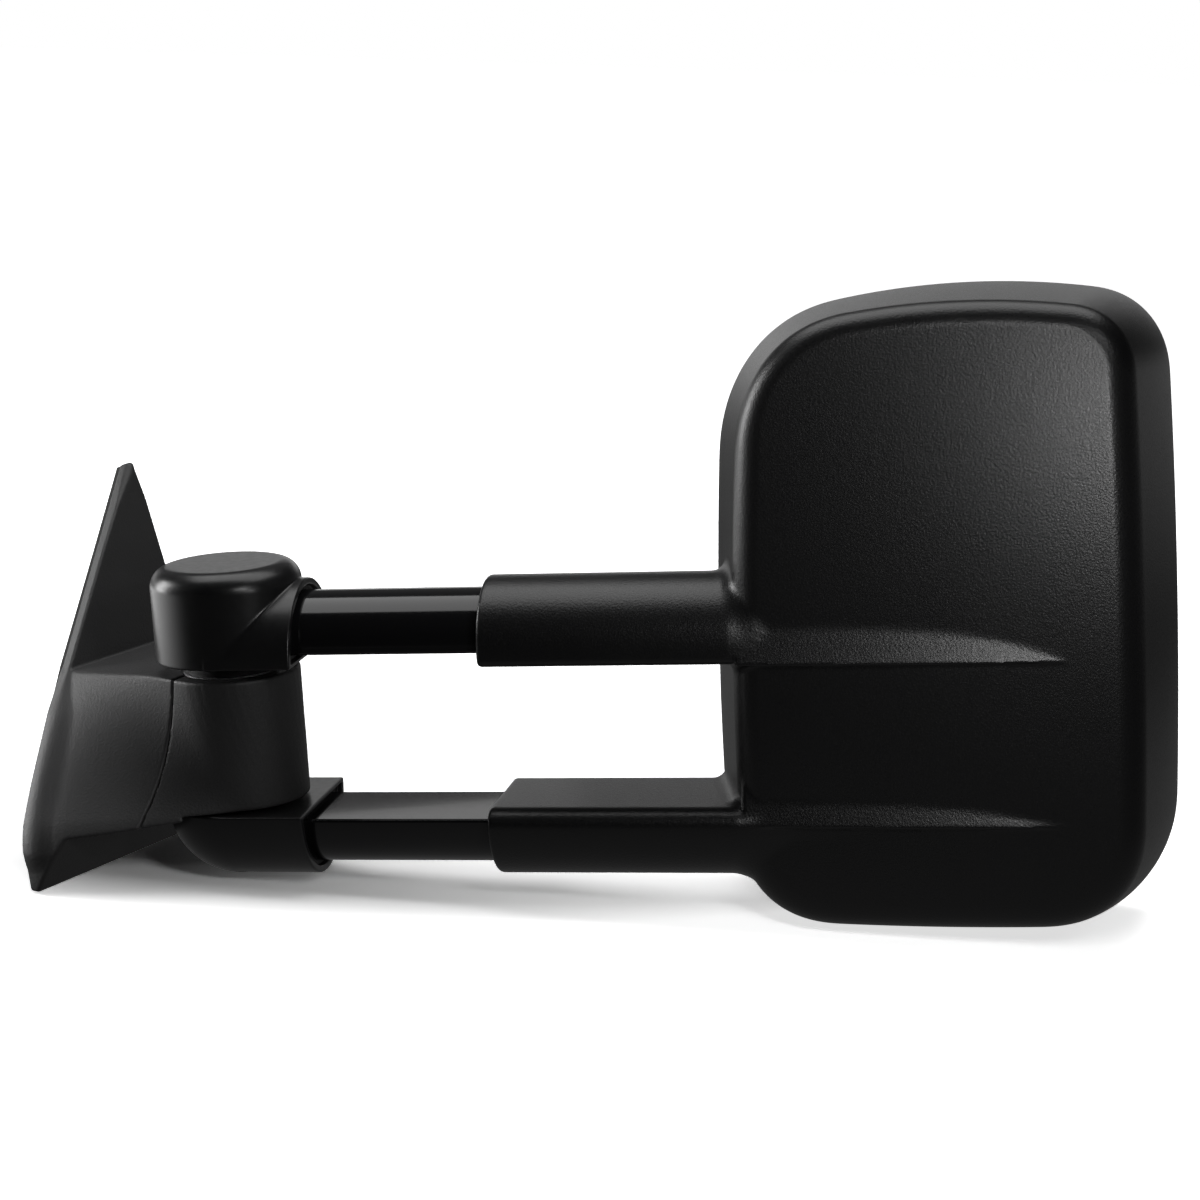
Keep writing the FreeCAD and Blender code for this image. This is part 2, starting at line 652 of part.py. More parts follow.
def screw_line(radius, x, z, y0, y1):
    return rod(radius, vec(x, y0, z), vec(x, y1, z))


def head_shell():
    sleeves = both_sides(lambda side: d_bar(SLEEVE_MOUTH, RIB_END, SLEEVE_R, SLEEVE_FLAT, SLEEVE_C, side,
                                            SLEEVE_CORNER))
    outside = fuse([head_block(0.0, 0.0, 0.0)] + sleeves)
    cavity = head_block(HEAD_WALL, HEAD_WALL, 2.0)
    bores = both_sides(lambda side: tube_bore(side, SLEEVE_MOUTH - 5, BORE_END))
    posts = []
    for x, z in SHELL_POSTS:
        panel = PANEL_Y + 2.0 - PANEL_TILT * (x - SHELL_POSTS[0][0])
        posts.append(screw_line(POST_R, x, z, panel, PLATE_Y - RUN))
    pilots = [screw_line(POST_PILOT_R, x, z, 10, 60) for x, z in SHELL_POSTS]
    body = fuse([cut(outside, [cavity] + bores)] + posts)
    return cut(body, pilots)


def glass_bezel():
    frame = straight_outline(BEZEL_INSET[0], HEAD_REAR - 9.0, HEAD_REAR)
    return frame.cut(straight_outline(BEZEL_INSET[1], 0.0, FAR))


def saddle(side):
    around = d_bar(*BUSH_X, TUBE_R + 4.0, TUBE_FLAT - 4.0, TUBE_C, side)
    return cut(around, [tube_bore(side), box(0, 2 * FAR, -FAR, -16, -FAR, FAR)])


def pad_well(side):
    """Hole for a friction pad and its spring."""
    low, high = sorted((side * 8.0, side * 60.0))
    return post(PAD_STEM_R + FIT, low, high, PAD_X, PAD_Y)


def head_frame():
    plate = box(272, 398, PLATE_Y, PLATE_Y + PLATE_T, -14, 112)
    window = box(300, 380, 0, FAR, 74, 98)
    stem = box(*STEM_X, 6, PLATE_Y + PLATE_T, -26, 26)
    tie = box(*STEM_X, 18, PLATE_Y, -36, 36)
    half = SWIVEL_HALF + 2 * FIT
    lugs = [box(PIVOT_X - 7, PIVOT_X + 7, PLATE_Y, PAN_Y + 5, z, z + EAR_T)
            for z in (PIVOT_Z - half - EAR_T, PIVOT_Z + half)]
    body = fuse([plate.cut(window), stem, tie, saddle(1), saddle(-1)] + lugs)
    holes = [screw_line(POST_PILOT_R + 5 * FIT, x, z, 10, 60) for x, z in SHELL_POSTS]
    pan = post(PIN_R, PIVOT_Z - FAR, PIVOT_Z + FAR, PIVOT_X, PAN_Y)
    return cut(body, holes + [pan] + both_sides(pad_well) + both_sides(tube_bore))


def slide_bushes(x0, x1):
    bushes = []
    for side in (1, -1):
        outer = d_bar(x0, x1, TUBE_R + BORE_GAP - RUN, TUBE_FLAT - BORE_GAP + RUN, TUBE_C, side)
        inner = d_bar(0, 2 * FAR, TUBE_R + RUN, TUBE_FLAT - RUN, TUBE_C, side)
        bushes.append(cut(outer, [inner, pad_well(side)]))
    return bushes


def friction_pad(side):
    low, high = sorted((side * PAD_FACE, side * (TUBE_FLAT - RUN)))
    return post(PAD_STEM_R, low, high, PAD_X, PAD_Y)


def pad_spring(side):
    spring = coil(3.6, 0.7, 8.1, PAD_FACE - FIT, 6.0)
    if side < 0:
        spring = spring.mirror(vec(0, 0, 0), vec(0, 0, 1))
    spring.translate(vec(PAD_X, PAD_Y, 0))
    return spring


def frame_screws():
    screws = []
    seat = PLATE_Y + PLATE_T
    for x, z in SHELL_POSTS:
        head = screw_line(3.8, x, z, seat, seat + 2.2)
        shank = screw_line(POST_PILOT_R - RUN, x, z, 13.0, seat + 1)
        screws.append(head.fuse(shank))
    return screws


def pan_pin():
    reach = SWIVEL_HALF + EAR_T + 2 * FIT
    return post(PIN_R, PIVOT_Z - reach, PIVOT_Z + reach, PIVOT_X, PAN_Y)


# ---- glass ---------------------------------------------------------------------------------------
def tilt_line(radius, half):
    return rod(radius, vec(PIVOT_X - half, TILT_Y, PIVOT_Z), vec(PIVOT_X + half, TILT_Y, PIVOT_Z))


def swivel_block():
    half_x = EAR_X - 1
    block = box(PIVOT_X - half_x, PIVOT_X + half_x, PAN_Y - 4, TILT_Y + 4, PIVOT_Z - SWIVEL_HALF,
                PIVOT_Z + SWIVEL_HALF)
    pan = post(PIN_R + RUN, PIVOT_Z - FAR, PIVOT_Z + FAR, PIVOT_X, PAN_Y)
    return cut(block, [pan, tilt_line(PIN_R, FAR)])


def tilt_pin():
    return tilt_line(PIN_R, EAR_X + EAR_T + 1)


def glass_carrier():
    tray = straight_outline(GLASS_INSET - 0.6, 48.0, 52.6)
    tray = tray.cut(straight_outline(GLASS_INSET, GLASS_Y[0] - FIT, FAR))
    ears = [box(x, x + EAR_T, TILT_Y - 5, 48.5, PIVOT_Z - 6, PIVOT_Z + 6)
            for x in (PIVOT_X - EAR_X - EAR_T, PIVOT_X + EAR_X)]
    return fuse([tray] + ears).cut(tilt_line(PIN_R + RUN, FAR))


def mirror_glass():
    return straight_outline(GLASS_INSET + 0.3, *GLASS_Y)


# ---- write the pieces ----------------------------------------------------------------------------
def save(name, shapes, shift):
    if not isinstance(shapes, list):
        shapes = [shapes]
    solids = []
    for shape in shapes:
        solids.extend(shape.translated(shift).Solids)
    whole = solids[0] if len(solids) == 1 else Part.makeCompound(solids)
    whole.exportStep("parts/" + name + ".step")
    bounds = whole.optimalBoundingBox()
    print("%-18s %d solids %9.0f mm3 valid %s  x %.1f..%.1f y %.1f..%.1f z %.1f..%.1f" % (
        name, len(solids), whole.Volume, whole.isValid(), bounds.XMin, bounds.XMax,
        bounds.YMin, bounds.YMax, bounds.ZMin, bounds.ZMax))


def upper_thread():
    """Middle of the upper door thread, in the arm frame."""
    v, w = DOOR_BOLTS[0]
    marker = to_arm_frame(Part.Vertex(on_door(v, w, 0.5 * (PLATE_N - GASKET_T))))
    return marker.Point


def main():
    os.makedirs("parts", exist_ok=True)
    skin = drill_skin(base_skin())
    pieces = {
        "sail_housing": to_arm_frame(sail_housing(skin)),
        "pivot_housing": to_arm_frame(pivot_housing(skin)),
        "mount_casting": mount_casting(),
        "door_inserts": door_inserts(),
        "door_gasket": door_gasket(),
        "housing_screws": skin_screws(),
        "pivot_bushes": pivot_bushes(),
        "friction_disc": friction_disc(),
        "fold_stop_pin": stop_pin(),
        "thrust_washer": thrust_washer(),
        "lower_washer": lower_washer(),
        "upper_knuckle": upper_knuckle(),
        "lower_knuckle": lower_knuckle(),
        "upper_arm_tube": arm_tube(1),
        "lower_arm_tube": arm_tube(-1),
        "upper_socket_liner": socket_liner(1),
        "lower_socket_liner": socket_liner(-1),
        "arm_screws": both_sides(arm_screw),
        "tube_plugs": both_sides(tube_plug),
        "pivot_bolt": pivot_bolt(),
        "lock_nut": lock_nut(),
        "nut_washer": nut_washer(),
        "disc_springs": disc_springs(),
        "access_plug": access_plug(),
        "head_shell": head_shell(),
        "glass_bezel": glass_bezel(),
        "head_frame": head_frame(),
        "mouth_bushes": slide_bushes(SLEEVE_MOUTH + 1.5, SLEEVE_MOUTH + 26.0),
        "inner_bushes": slide_bushes(*BUSH_X),
        "friction_pads": both_sides(friction_pad),
        "pad_springs": both_sides(pad_spring),
        "frame_screws": frame_screws(),
        "pan_pin": pan_pin(),
        "swivel_block": swivel_block(),
        "tilt_pin": tilt_pin(),
        "glass_carrier": glass_carrier(),
        "mirror_glass": mirror_glass(),
    }
    home = upper_thread().negative()
    for name, shapes in pieces.items():
        save(name, shapes, home)


main()
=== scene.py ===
import json
import math

import bpy
import numpy as np
from mathutils import Matrix, Vector


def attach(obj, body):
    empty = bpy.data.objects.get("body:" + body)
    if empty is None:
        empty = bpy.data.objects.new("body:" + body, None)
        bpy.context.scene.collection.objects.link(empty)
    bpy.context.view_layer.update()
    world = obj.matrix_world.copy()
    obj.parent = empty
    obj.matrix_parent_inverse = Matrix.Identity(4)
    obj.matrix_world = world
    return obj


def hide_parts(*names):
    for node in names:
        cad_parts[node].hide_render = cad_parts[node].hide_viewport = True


# Towing mirror.  Shapes are worked out in mm about the fold axis, midway between the two arms, and
# stored in metres in the part's own frame.
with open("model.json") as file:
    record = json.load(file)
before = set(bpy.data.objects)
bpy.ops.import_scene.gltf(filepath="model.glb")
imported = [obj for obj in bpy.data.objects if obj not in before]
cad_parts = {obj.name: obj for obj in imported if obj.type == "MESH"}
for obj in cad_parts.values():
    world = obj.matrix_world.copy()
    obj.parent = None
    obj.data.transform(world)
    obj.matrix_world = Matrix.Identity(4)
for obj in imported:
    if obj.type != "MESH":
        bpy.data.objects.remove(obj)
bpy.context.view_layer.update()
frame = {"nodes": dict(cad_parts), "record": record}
MM = 0.001
FOLD_AXIS = Vector(next(j["pos_m"] for j in frame["record"]["behaviour"]["joints"] if j["name"] == "fold"))


def at(x, y, z):
    """Place given in metres from the fold axis."""
    return FOLD_AXIS + Vector((x, y, z))


# ---- implicit shapes: negative inside, positive outside, in mm ------------------------------------
def round_meet(a, b, r):
    """What two shapes share, with their common edge rounded to radius r."""
    r = np.maximum(r, 1e-6)
    p = np.maximum(a + r, 0.0)
    q = np.maximum(b + r, 0.0)
    return np.minimum(np.maximum(a + r, b + r), 0.0) + np.hypot(p, q) - r


def round_join(a, b, r):
    """Two shapes together, with the inside corner between them filled to radius r."""
    return -round_meet(-a, -b, r)


def cut_away(a, b, r=0.0):
    return round_meet(a, -b, r)


def between(x, low, high):
    return np.abs(x - 0.5 * (low + high)) - 0.5 * (high - low)


def d_section(y, z, radius, flat, centre, side, corner=0.0):
    """D outline: a flat at side*flat and a half round about side*centre."""
    h = side * z
    dome = np.where(h > centre, np.hypot(y, h - centre), np.abs(y)) - radius
    return round_meet(dome, flat - h, corner)


def polygon_field(px, py, corners):
    """Signed distance to a closed polygon."""
    best = np.full(np.broadcast(px, py).shape, 1e9, dtype=np.float32)
    inside = np.zeros(best.shape, dtype=bool)
    count = len(corners)
    for i in range(count):
        ax, ay = corners[i - 1]
        bx, by = corners[i]
        ex = bx - ax
        ey = by - ay
        wx = px - ax
        wy = py - ay
        t = np.clip((wx * ex + wy * ey) / (ex * ex + ey * ey + 1e-12), 0.0, 1.0)
        best = np.minimum(best, (wx - ex * t) ** 2 + (wy - ey * t) ** 2)
        spans = (ay <= py) != (by <= py)
        if ey != 0:
            inside ^= spans & (px < ax + (py - ay) * ex / ey)
    return np.where(inside, -1.0, 1.0) * np.sqrt(best)


# ---- mesh from an implicit shape ---------------------------------------------------------------------
def grid_axes(low, high, step):
    return [np.arange(low[k], high[k] + step, step, dtype=np.float32) for k in range(3)]


def surface_net(field, low, step):
    """Quad mesh on the zero level of a grid: one vertex per crossed cell, one quad per crossed edge."""
    inside = field < 0
    shape = field.shape
    spots = []
    quads_cells = []
    flips = []
    for axis in range(3):
        a = [slice(None)] * 3
        b = [slice(None)] * 3
        a[axis] = slice(0, -1)
        b[axis] = slice(1, None)
        crossed = inside[tuple(a)] != inside[tuple(b)]
        other = [k for k in range(3) if k != axis]
        for k in other:
            edge = [slice(None)] * 3
            edge[k] = slice(0, 1)
            crossed[tuple(edge)] = False
            edge[k] = slice(shape[k] - 1, shape[k])
            crossed[tuple(edge)] = False
        start = np.argwhere(crossed)
        end = start.copy()
        end[:, axis] += 1
        v0 = field[tuple(start.T)]
        v1 = field[tuple(end.T)]
        spot = start.astype(np.float64)
        spot[:, axis] += v0 / (v0 - v1)
        around = []
        for d0, d1 in ((0, 0), (1, 0), (1, 1), (0, 1)):
            cell = start.copy()
            cell[:, other[0]] -= d0
            cell[:, other[1]] -= d1
            around.append(np.ravel_multi_index(tuple(cell.T), shape))
        spots.append(spot)
        quads_cells.append(np.stack(around, axis=1))
        outward = v0 < 0
        flips.append(outward if axis != 1 else ~outward)
    spots = np.concatenate(spots)
    cells = np.concatenate(quads_cells)
    flip = np.concatenate(flips)
    names, index = np.unique(cells.ravel(), return_inverse=True)
    share = np.bincount(index).astype(np.float64)
    points = np.empty((len(names), 3))
    for k in range(3):
        points[:, k] = np.bincount(index, weights=np.repeat(spots[:, k], 4)) / share
    quads = index.reshape(-1, 4)
    quads[flip] = quads[flip][:, ::-1]
    return points * step + np.asarray(low, dtype=np.float64), quads[:, ::-1]


def sample(field, low, step, points):
    """Trilinear value and slope of a grid field."""
    place = (points - np.asarray(low)) / step
    base = np.clip(np.floor(place).astype(int), 0, np.array(field.shape) - 2)
    frac = place - base
    corner = {}
    for i in (0, 1):
        for j in (0, 1):
            for k in (0, 1):
                corner[i, j, k] = field[base[:, 0] + i, base[:, 1] + j, base[:, 2] + k]
    fx, fy, fz = frac.T
    weight = {0: (1 - fx, 1 - fy, 1 - fz), 1: (fx, fy, fz)}
    value = 0.0
    slope = np.zeros_like(points)
    for (i, j, k), c in corner.items():
        wx, wy, wz = weight[i][0], weight[j][1], weight[k][2]
        value = value + c * wx * wy * wz
        slope[:, 0] += (2 * i - 1) * c * wy * wz
        slope[:, 1] += (2 * j - 1) * c * wx * wz
        slope[:, 2] += (2 * k - 1) * c * wx * wy
    return value, slope / step


def settle(field, low, step, points, rounds=3):
    """Pull vertices onto the zero level along the slope."""
    for _ in range(rounds):
        value, slope = sample(field, low, step, points)
        size = np.maximum((slope ** 2).sum(axis=1), 0.05)
        move = slope * (value / size)[:, None]
        length = np.linalg.norm(move, axis=1)
        limit = 0.4 * step
        move *= np.minimum(1.0, limit / np.maximum(length, 1e-9))[:, None]
        points = points - move
    return points


def relax(points, quads, amount, rounds):
    """Even out vertex spacing with small neighbour averages."""
    a = quads.ravel()
    b = np.roll(quads, -1, axis=1).ravel()
    c = np.roll(quads, 1, axis=1).ravel()
    share = (np.bincount(a, minlength=len(points)) * 2.0)[:, None]
    for _ in range(rounds):
        total = np.empty_like(points)
        for k in range(3):
            total[:, k] = (np.bincount(a, weights=points[b, k], minlength=len(points))
                           + np.bincount(a, weights=points[c, k], minlength=len(points)))
        points = points + amount * (total / share - points)
    return points


def mesh_object(name, points, faces):
    """Mesh object from points in mm and faces given as one array or a list of index lists."""
    mesh = bpy.data.meshes.new(name)
    if isinstance(faces, np.ndarray):
        count, sides = faces.shape
        mesh.vertices.add(len(points))
        places = np.asarray(points) * MM + np.array(FOLD_AXIS)
        mesh.vertices.foreach_set("co", places.astype(np.float32).ravel())
        mesh.loops.add(count * sides)
        mesh.loops.foreach_set("vertex_index", faces.astype(np.int32).ravel())
        mesh.polygons.add(count)
        mesh.polygons.foreach_set("loop_start", np.arange(0, count * sides, sides, dtype=np.int32))
    else:
        mesh.from_pydata([Vector(p) * MM + FOLD_AXIS for p in points], [], faces)
    mesh.update(calc_edges=True)
    mesh.validate()
    mesh.polygons.foreach_set("use_smooth", np.ones(len(mesh.polygons), dtype=bool))
    piece = bpy.data.objects.new(name, mesh)
    bpy.context.scene.collection.objects.link(piece)
    return piece


def skinned(field, low, step):
    """Even, settled points and quads on the zero level of a grid field."""
    field = np.ascontiguousarray(field, dtype=np.float32)
    points, quads = surface_net(field, low, step)
    return settle(field, low, step, relax(points, quads, 0.5, 2)), quads


def implicit_piece(name, shape, low, high, step):
    """Sample shape(x, y, z) over a box and skin it."""
    x, y, z = np.meshgrid(*grid_axes(low, high, step), indexing="ij", sparse=True)
    field = np.broadcast_to(shape(x, y, z), (x.size, y.size, z.size))
    points, quads = skinned(field, low, step)
    return mesh_object(name, points, quads)


# ---- head --------------------------------------------------------------------------------------------
HEAD_LEFT = 221.5
HEAD_RIGHT = 431.5
HEAD_TOP = 190.0
HEAD_BOTTOM = -97.0
HEAD_REAR = 60.0
HEAD_WIDEST_Y = 45.0
PANEL_Y = -28.5
PANEL_TILT = 0.032
PANEL_EDGE_R = 10.0
HEAD_WALL = 2.8
# Reach of the corners: top left, top right, bottom right, bottom left
CORNER_R = (51.0, 32.0, 51.0, 48.0)
CORNER_POWER = 2.4                       # 2 is a plain arc; more eases into the sides

SLEEVE_R = 30.4
SLEEVE_FLAT = 33.1
SLEEVE_C = 39.1
SLEEVE_MOUTH = 124.0
RIB_END = 392.0
RIB_START = 240.0
RIB_TIP = 385.0
RIB_SLOPE = 0.34
# Each rib: z of its lower edge, height of its sloped face
RIBS = ((33.1, 16.0), (-41.0, 11.0))
TUBE_R = 24.1
TUBE_FLAT = 38.6
TUBE_C = 40.0
TUBE_WALL = 2.0
TUBE_ENDS = (18.1, 295.0)
TUBE_BEVEL = 1.0
BORE_GAP = 1.2
HEAD_MIDDLE = (326.0, 47.0)
GLASS_INSET = 12.9
GLASS_Y = (50.1, 53.0)
BEZEL_INSET = (5.4, 9.0)


def head_sides(x, y, z):
    """Closed outline of the head at depth y, as a field that grows outwards."""
    # s is 0 at the widest depth and about 1 at the panel; each side bows on its own large radius
    s = np.maximum(0.0, (HEAD_WIDEST_Y - y) / 75.0)
    rear = 2.6 * np.maximum(0.0, (y - HEAD_WIDEST_Y) / 15.0) ** 2
    left = HEAD_LEFT + 19.0 * s + rear
    right = HEAD_RIGHT - 16.0 * s ** 1.35 - rear
    top = HEAD_TOP - 1.6 * s ** 1.5 - rear
    bottom = HEAD_BOTTOM + 10.0 * s ** 2 + rear
    side_l = np.hypot(x - left - 1900.0, z + 20.0) - 1900.0
    side_r = np.hypot(x - right + 3000.0, z - 45.0) - 3000.0
    side_t = np.hypot(x - 345.0, z - top + 340.0) - 340.0
    side_b = np.hypot(x - 335.0, z - bottom - 1500.0) - 1500.0
    across = np.maximum(side_l, side_r)
    upright = np.maximum(side_t, side_b)
    on_left = x < 326.0
    above = z > 45.0
    tl, tr, br, bl = CORNER_R
    corner = np.where(above, np.where(on_left, tl, tr), np.where(on_left, bl, br))
    reach = corner - 5.6 * s
    p = np.maximum(across + reach, 0.0) ** CORNER_POWER
    q = np.maximum(upright + reach, 0.0) ** CORNER_POWER
    return np.minimum(np.maximum(across, upright) + reach, 0.0) + (p + q) ** (1.0 / CORNER_POWER) - reach


def panel_face(x, z):
    """Depth of the slightly bowed front panel."""
    return PANEL_Y - PANEL_TILT * (x - 315.0) + 1.2 * ((z - 47.0) / 130.0) ** 2


def head_body(x, y, z):
    return round_meet(head_sides(x, y, z), panel_face(x, z) - y, PANEL_EDGE_R)


def rib(x, y, z, foot, height):
    """Wedge that carries a sleeve's line across the panel and runs out to a point."""
    along = np.clip((x - RIB_START) / (RIB_TIP - RIB_START), 0.0, 1.2)
    rise = z - foot
    face = panel_face(x, z) - RIB_SLOPE * (height * (1.0 - along ** 4) - rise) - y
    wedge = round_meet(face, -rise, 0.8)
    return np.maximum(round_meet(wedge, between(x, RIB_START, RIB_TIP + 4.0), 2.0), y + 20.0)


def head_shell_shape(x, y, z):
    body = head_body(x, y, z)
    outer = round_meet(body, y - HEAD_REAR, 1.2)
    length = between(x, SLEEVE_MOUTH, RIB_END)
    blend = np.interp(x, (236.0, 256.0), (7.0, 0.8))
    # The sleeves sink into the panel where the ribs take over
    radius = SLEEVE_R - 3.4 * np.clip((x - 238.0) / 26.0, 0.0, 1.0)
    for side in (1, -1):
        corner = np.where(y < 0, 8.0, 4.0) if side < 0 else 4.0
        section = d_section(y, z, radius, SLEEVE_FLAT, SLEEVE_C, side, corner)
        outer = round_join(outer, round_meet(section, length, 2.0), blend)
    for foot, height in RIBS:
        outer = round_join(outer, rib(x, y, z, foot, height), 0.6)
    wall = np.interp(y, (40.0, 50.0), (4.6, HEAD_WALL))
    shell = cut_away(outer, body + wall, 0.6)
    for side in (1, -1):
        bore = d_section(y, z, TUBE_R + BORE_GAP, TUBE_FLAT - BORE_GAP, TUBE_C, side, 1.2)
        shell = cut_away(shell, np.maximum(bore, between(x, SLEEVE_MOUTH - 9, 382.0)), 0.5)
    return shell


def make_head_shell():
    low = (SLEEVE_MOUTH - 4, -38.0, HEAD_BOTTOM - 4)
    high = (HEAD_RIGHT + 4, HEAD_REAR + 4, HEAD_TOP + 4)
    step = 0.9
    return implicit_piece("head_cover", head_shell_shape, low, high, step)


def head_loop(inset, count=288):
    """Points of the rear outline, moved in by inset, as seen from behind."""
    turn = np.linspace(0.0, 2.0 * math.pi, count, endpoint=False)
    low = np.zeros(count)
    high = np.full(count, 260.0)
    for _ in range(30):
        reach = 0.5 * (low + high)
        x = HEAD_MIDDLE[0] + reach * np.cos(turn)
        z = HEAD_MIDDLE[1] + reach * np.sin(turn)
        inside = head_sides(x, np.full(count, HEAD_WIDEST_Y), z) + inset < 0
        low = np.where(inside, reach, low)
        high = np.where(inside, high, reach)
    return np.stack([HEAD_MIDDLE[0] + low * np.cos(turn), HEAD_MIDDLE[1] + low * np.sin(turn)], axis=1)


def ringed_piece(name, profile, capped):
    """Skin a run of (inset, y) rings; the ends are capped, or joined to each other."""
    loops = [head_loop(inset) for inset, _ in profile]
    count = len(loops[0])
    points = [(x, y, z) for loop, (_, y) in zip(loops, profile) for x, z in loop]
    rows = len(profile)
    faces = []
    for i in range(rows if not capped else rows - 1):
        m = (i + 1) % rows
        for j in range(count):
            k = (j + 1) % count
            faces.append((i * count + j, m * count + j, m * count + k, i * count + k))
    if capped:
        faces.append(tuple(range(count)))
        faces.append(tuple(reversed(range((rows - 1) * count, rows * count))))
    piece = mesh_object(name, points, faces)
    piece.data.set_sharp_from_angle(angle=math.radians(35))
    return piece


def make_glass():
    """Flat mirror glass with a ground edge."""
    back, front = GLASS_Y
    profile = [(GLASS_INSET + 0.4, back), (GLASS_INSET, back + 0.4), (GLASS_INSET, front - 0.6),
               (GLASS_INSET + 0.3, front - 0.2), (GLASS_INSET + 0.9, front)]
    return ringed_piece("mirror_pane", profile, True)


def make_bezel():
    """Rounded trim ring between the head's rim and the glass."""
    outer, inner = BEZEL_INSET
    soft = 1.3
    profile = [(outer, 51.0), (outer, HEAD_REAR - soft)]
    profile += [(outer + soft - soft * math.cos(a), HEAD_REAR - soft + soft * math.sin(a))
                for a in np.radians((30.0, 60.0, 90.0))]
    profile += [(inner - soft + soft * math.sin(a), HEAD_REAR - soft + soft * math.cos(a))
                for a in np.radians((0.0, 30.0, 60.0, 90.0))]
    profile += [(inner, 51.4), (inner - 0.4, 51.0)]
    return ringed_piece("glass_trim", profile, False)


# ---- door base --------------------------------------------------------------------------------------
SWEEP = math.radians(20.0)
TUMBLE = math.radians(16.0)
DOOR_U = -85.0
SHELF_Z = 28.0
BOSS_FLOOR = -33.3
BOSS_R = 31.4
BASE_WALL = 3.0
CORE_R = 23.1
RIM_DEPTH = 8.0
SEAM_GAP = 0.3
# Door outline (v, z) from the rear bottom corner round to the lower front, where a curve finishes it
FOOTPRINT = [(68.0, -65.0), (70.0, 108.5), (66.5, 108.5), (36.0, 77.0), (-14.0, 26.0)]
FRONT_CORNER = [(-49.0, -13.5), (-72.0, -40.0), (-82.0, -60.0), (-62.0, -65.0)]


def bezier(corners, steps):
    t = np.linspace(0.0, 1.0, steps)[:, None]
    a, b, c, d = [np.array(p) for p in corners]
    return (1 - t) ** 3 * a + 3 * t * (1 - t) ** 2 * b + 3 * t * t * (1 - t) * c + t ** 3 * d


# Front curve of the lower body: (z, v where it meets the door, heading there, pull there,
# angle on the boss, pull there)
FRONT_ROWS = [(28.0, -13.0, -17.0, 28.0, 256.0, 28.0),
              (-2.0, -38.0, -36.0, 20.0, 274.0, 36.0),
              (-34.0, -66.0, -34.0, 20.0, 312.0, 50.0)]


TURN_Z = -32.0             # below this the front curve stops moving forward over TURN_DEPTH
TURN_DEPTH = 15.0


def through_rows(z, column):
    """Parabola through the three rows of FRONT_ROWS."""
    (z0, z1, z2) = [row[0] for row in FRONT_ROWS]
    (a, b, c) = [row[column] for row in FRONT_ROWS]
    return (a * (z - z1) * (z - z2) / ((z0 - z1) * (z0 - z2))
            + b * (z - z0) * (z - z2) / ((z1 - z0) * (z1 - z2))
            + c * (z - z0) * (z - z1) / ((z2 - z0) * (z2 - z1)))


def plan_outline(z):
    """Closed plan outline of the lower body at height z."""
    z = min(float(z), SHELF_Z + 2.0)
    if z < TURN_Z:
        z = TURN_Z - TURN_DEPTH * (1.0 - math.exp((z - TURN_Z) / TURN_DEPTH))
    edge, heading, pull, angle, boss_pull = [through_rows(z, k) for k in range(1, 6)]
    door = DOOR_U - z * math.tan(TUMBLE) - 12.0
    heading = math.radians(heading)
    angle = math.radians(angle)
    start = np.array([door + 12.0, edge])
    lead = start + pull * np.array([math.cos(heading), math.sin(heading)])
    finish = BOSS_R * np.array([math.cos(angle), math.sin(angle)])
    trail = finish - boss_pull * np.array([-math.sin(angle), math.cos(angle)])
    points = [(door, edge - 12.0 * math.tan(heading))]
    points += [tuple(p) for p in bezier((start, lead, trail, finish), 22)]
    back = math.radians(100.0 + 360.0)
    for turn in np.linspace(angle, back, 24)[1:]:
        points.append((BOSS_R * math.cos(turn), BOSS_R * math.sin(turn)))
    points.append((door + 12.0, 68.0))
    points.append((door, 68.0))
    return points


def lower_field(u, v, z):
    """Plan outline field stacked over the heights of the grid."""
    flat_u = np.asarray(u)[:, :, 0]
    flat_v = np.asarray(v)[:, :, 0]
    layers = [polygon_field(flat_u, flat_v, plan_outline(height)) for height in np.asarray(z).ravel()]
    return np.stack(layers, axis=2)


def base_shape(u, v, z):
    """Both base mouldings as one shell, in axes turned by SWEEP from the arms' own."""
    # n is the distance from the door face, w the height along it
    n = (u - DOOR_U) * math.cos(TUMBLE) + z * math.sin(TUMBLE)
    w = -(u - DOOR_U) * math.sin(TUMBLE) + z * math.cos(TUMBLE)
    outline = FOOTPRINT + [tuple(p) for p in bezier(FRONT_CORNER, 16)]
    rim = [(a, b / math.cos(TUMBLE)) for a, b in outline]
    slope = np.interp(z, (16.0, 30.0), (0.45, 0.3))
    lean = v + slope * n * np.clip((70.0 - v) / 40.0, 0.0, 1.0)
    edge = np.interp(z, (8.0, 26.0, 92.0, 106.0), (6.5, 1.0, 1.0, 3.5))
    sail = round_meet(polygon_field(lean, w, rim), n - RIM_DEPTH, edge)
    plan = lower_field(u, v, z)
    shelf = z - SHELF_Z - 0.06 * np.minimum(0.0, u + 30.0)
    crease = BOSS_FLOOR - 9.5 * np.clip((16.0 - u) / 80.0, 0.0, 1.0)
    clear = clearance_below(u, v, z)
    foot_out = u - np.interp(z, (-65.0, -42.0), (-61.0, -49.0))
    underside = round_join(crease - z, np.maximum(foot_out, -65.0 - z), 1.0)
    lower = round_meet(round_meet(plan, shelf, 1.2), underside, 1.0)
    fill = np.interp(z, (-62.0, -48.0, 8.0, 26.0), (0.6, 10.0, 10.0, 0.6))
    body = round_join(lower, sail, 0.6 + (fill - 0.6) * np.clip((20.0 - v) / 30.0, 0.0, 1.0))
    body = cut_away(body, clear, 0.6)
    shell = round_meet(body, -n, 1.2)
    cavity = np.maximum(body + BASE_WALL, -n - 8.0)
    cavity = np.minimum(cavity, np.maximum(np.hypot(u, v) - CORE_R, np.abs(z) - 60.0))
    return cut_away(shell, cavity, 0.4)


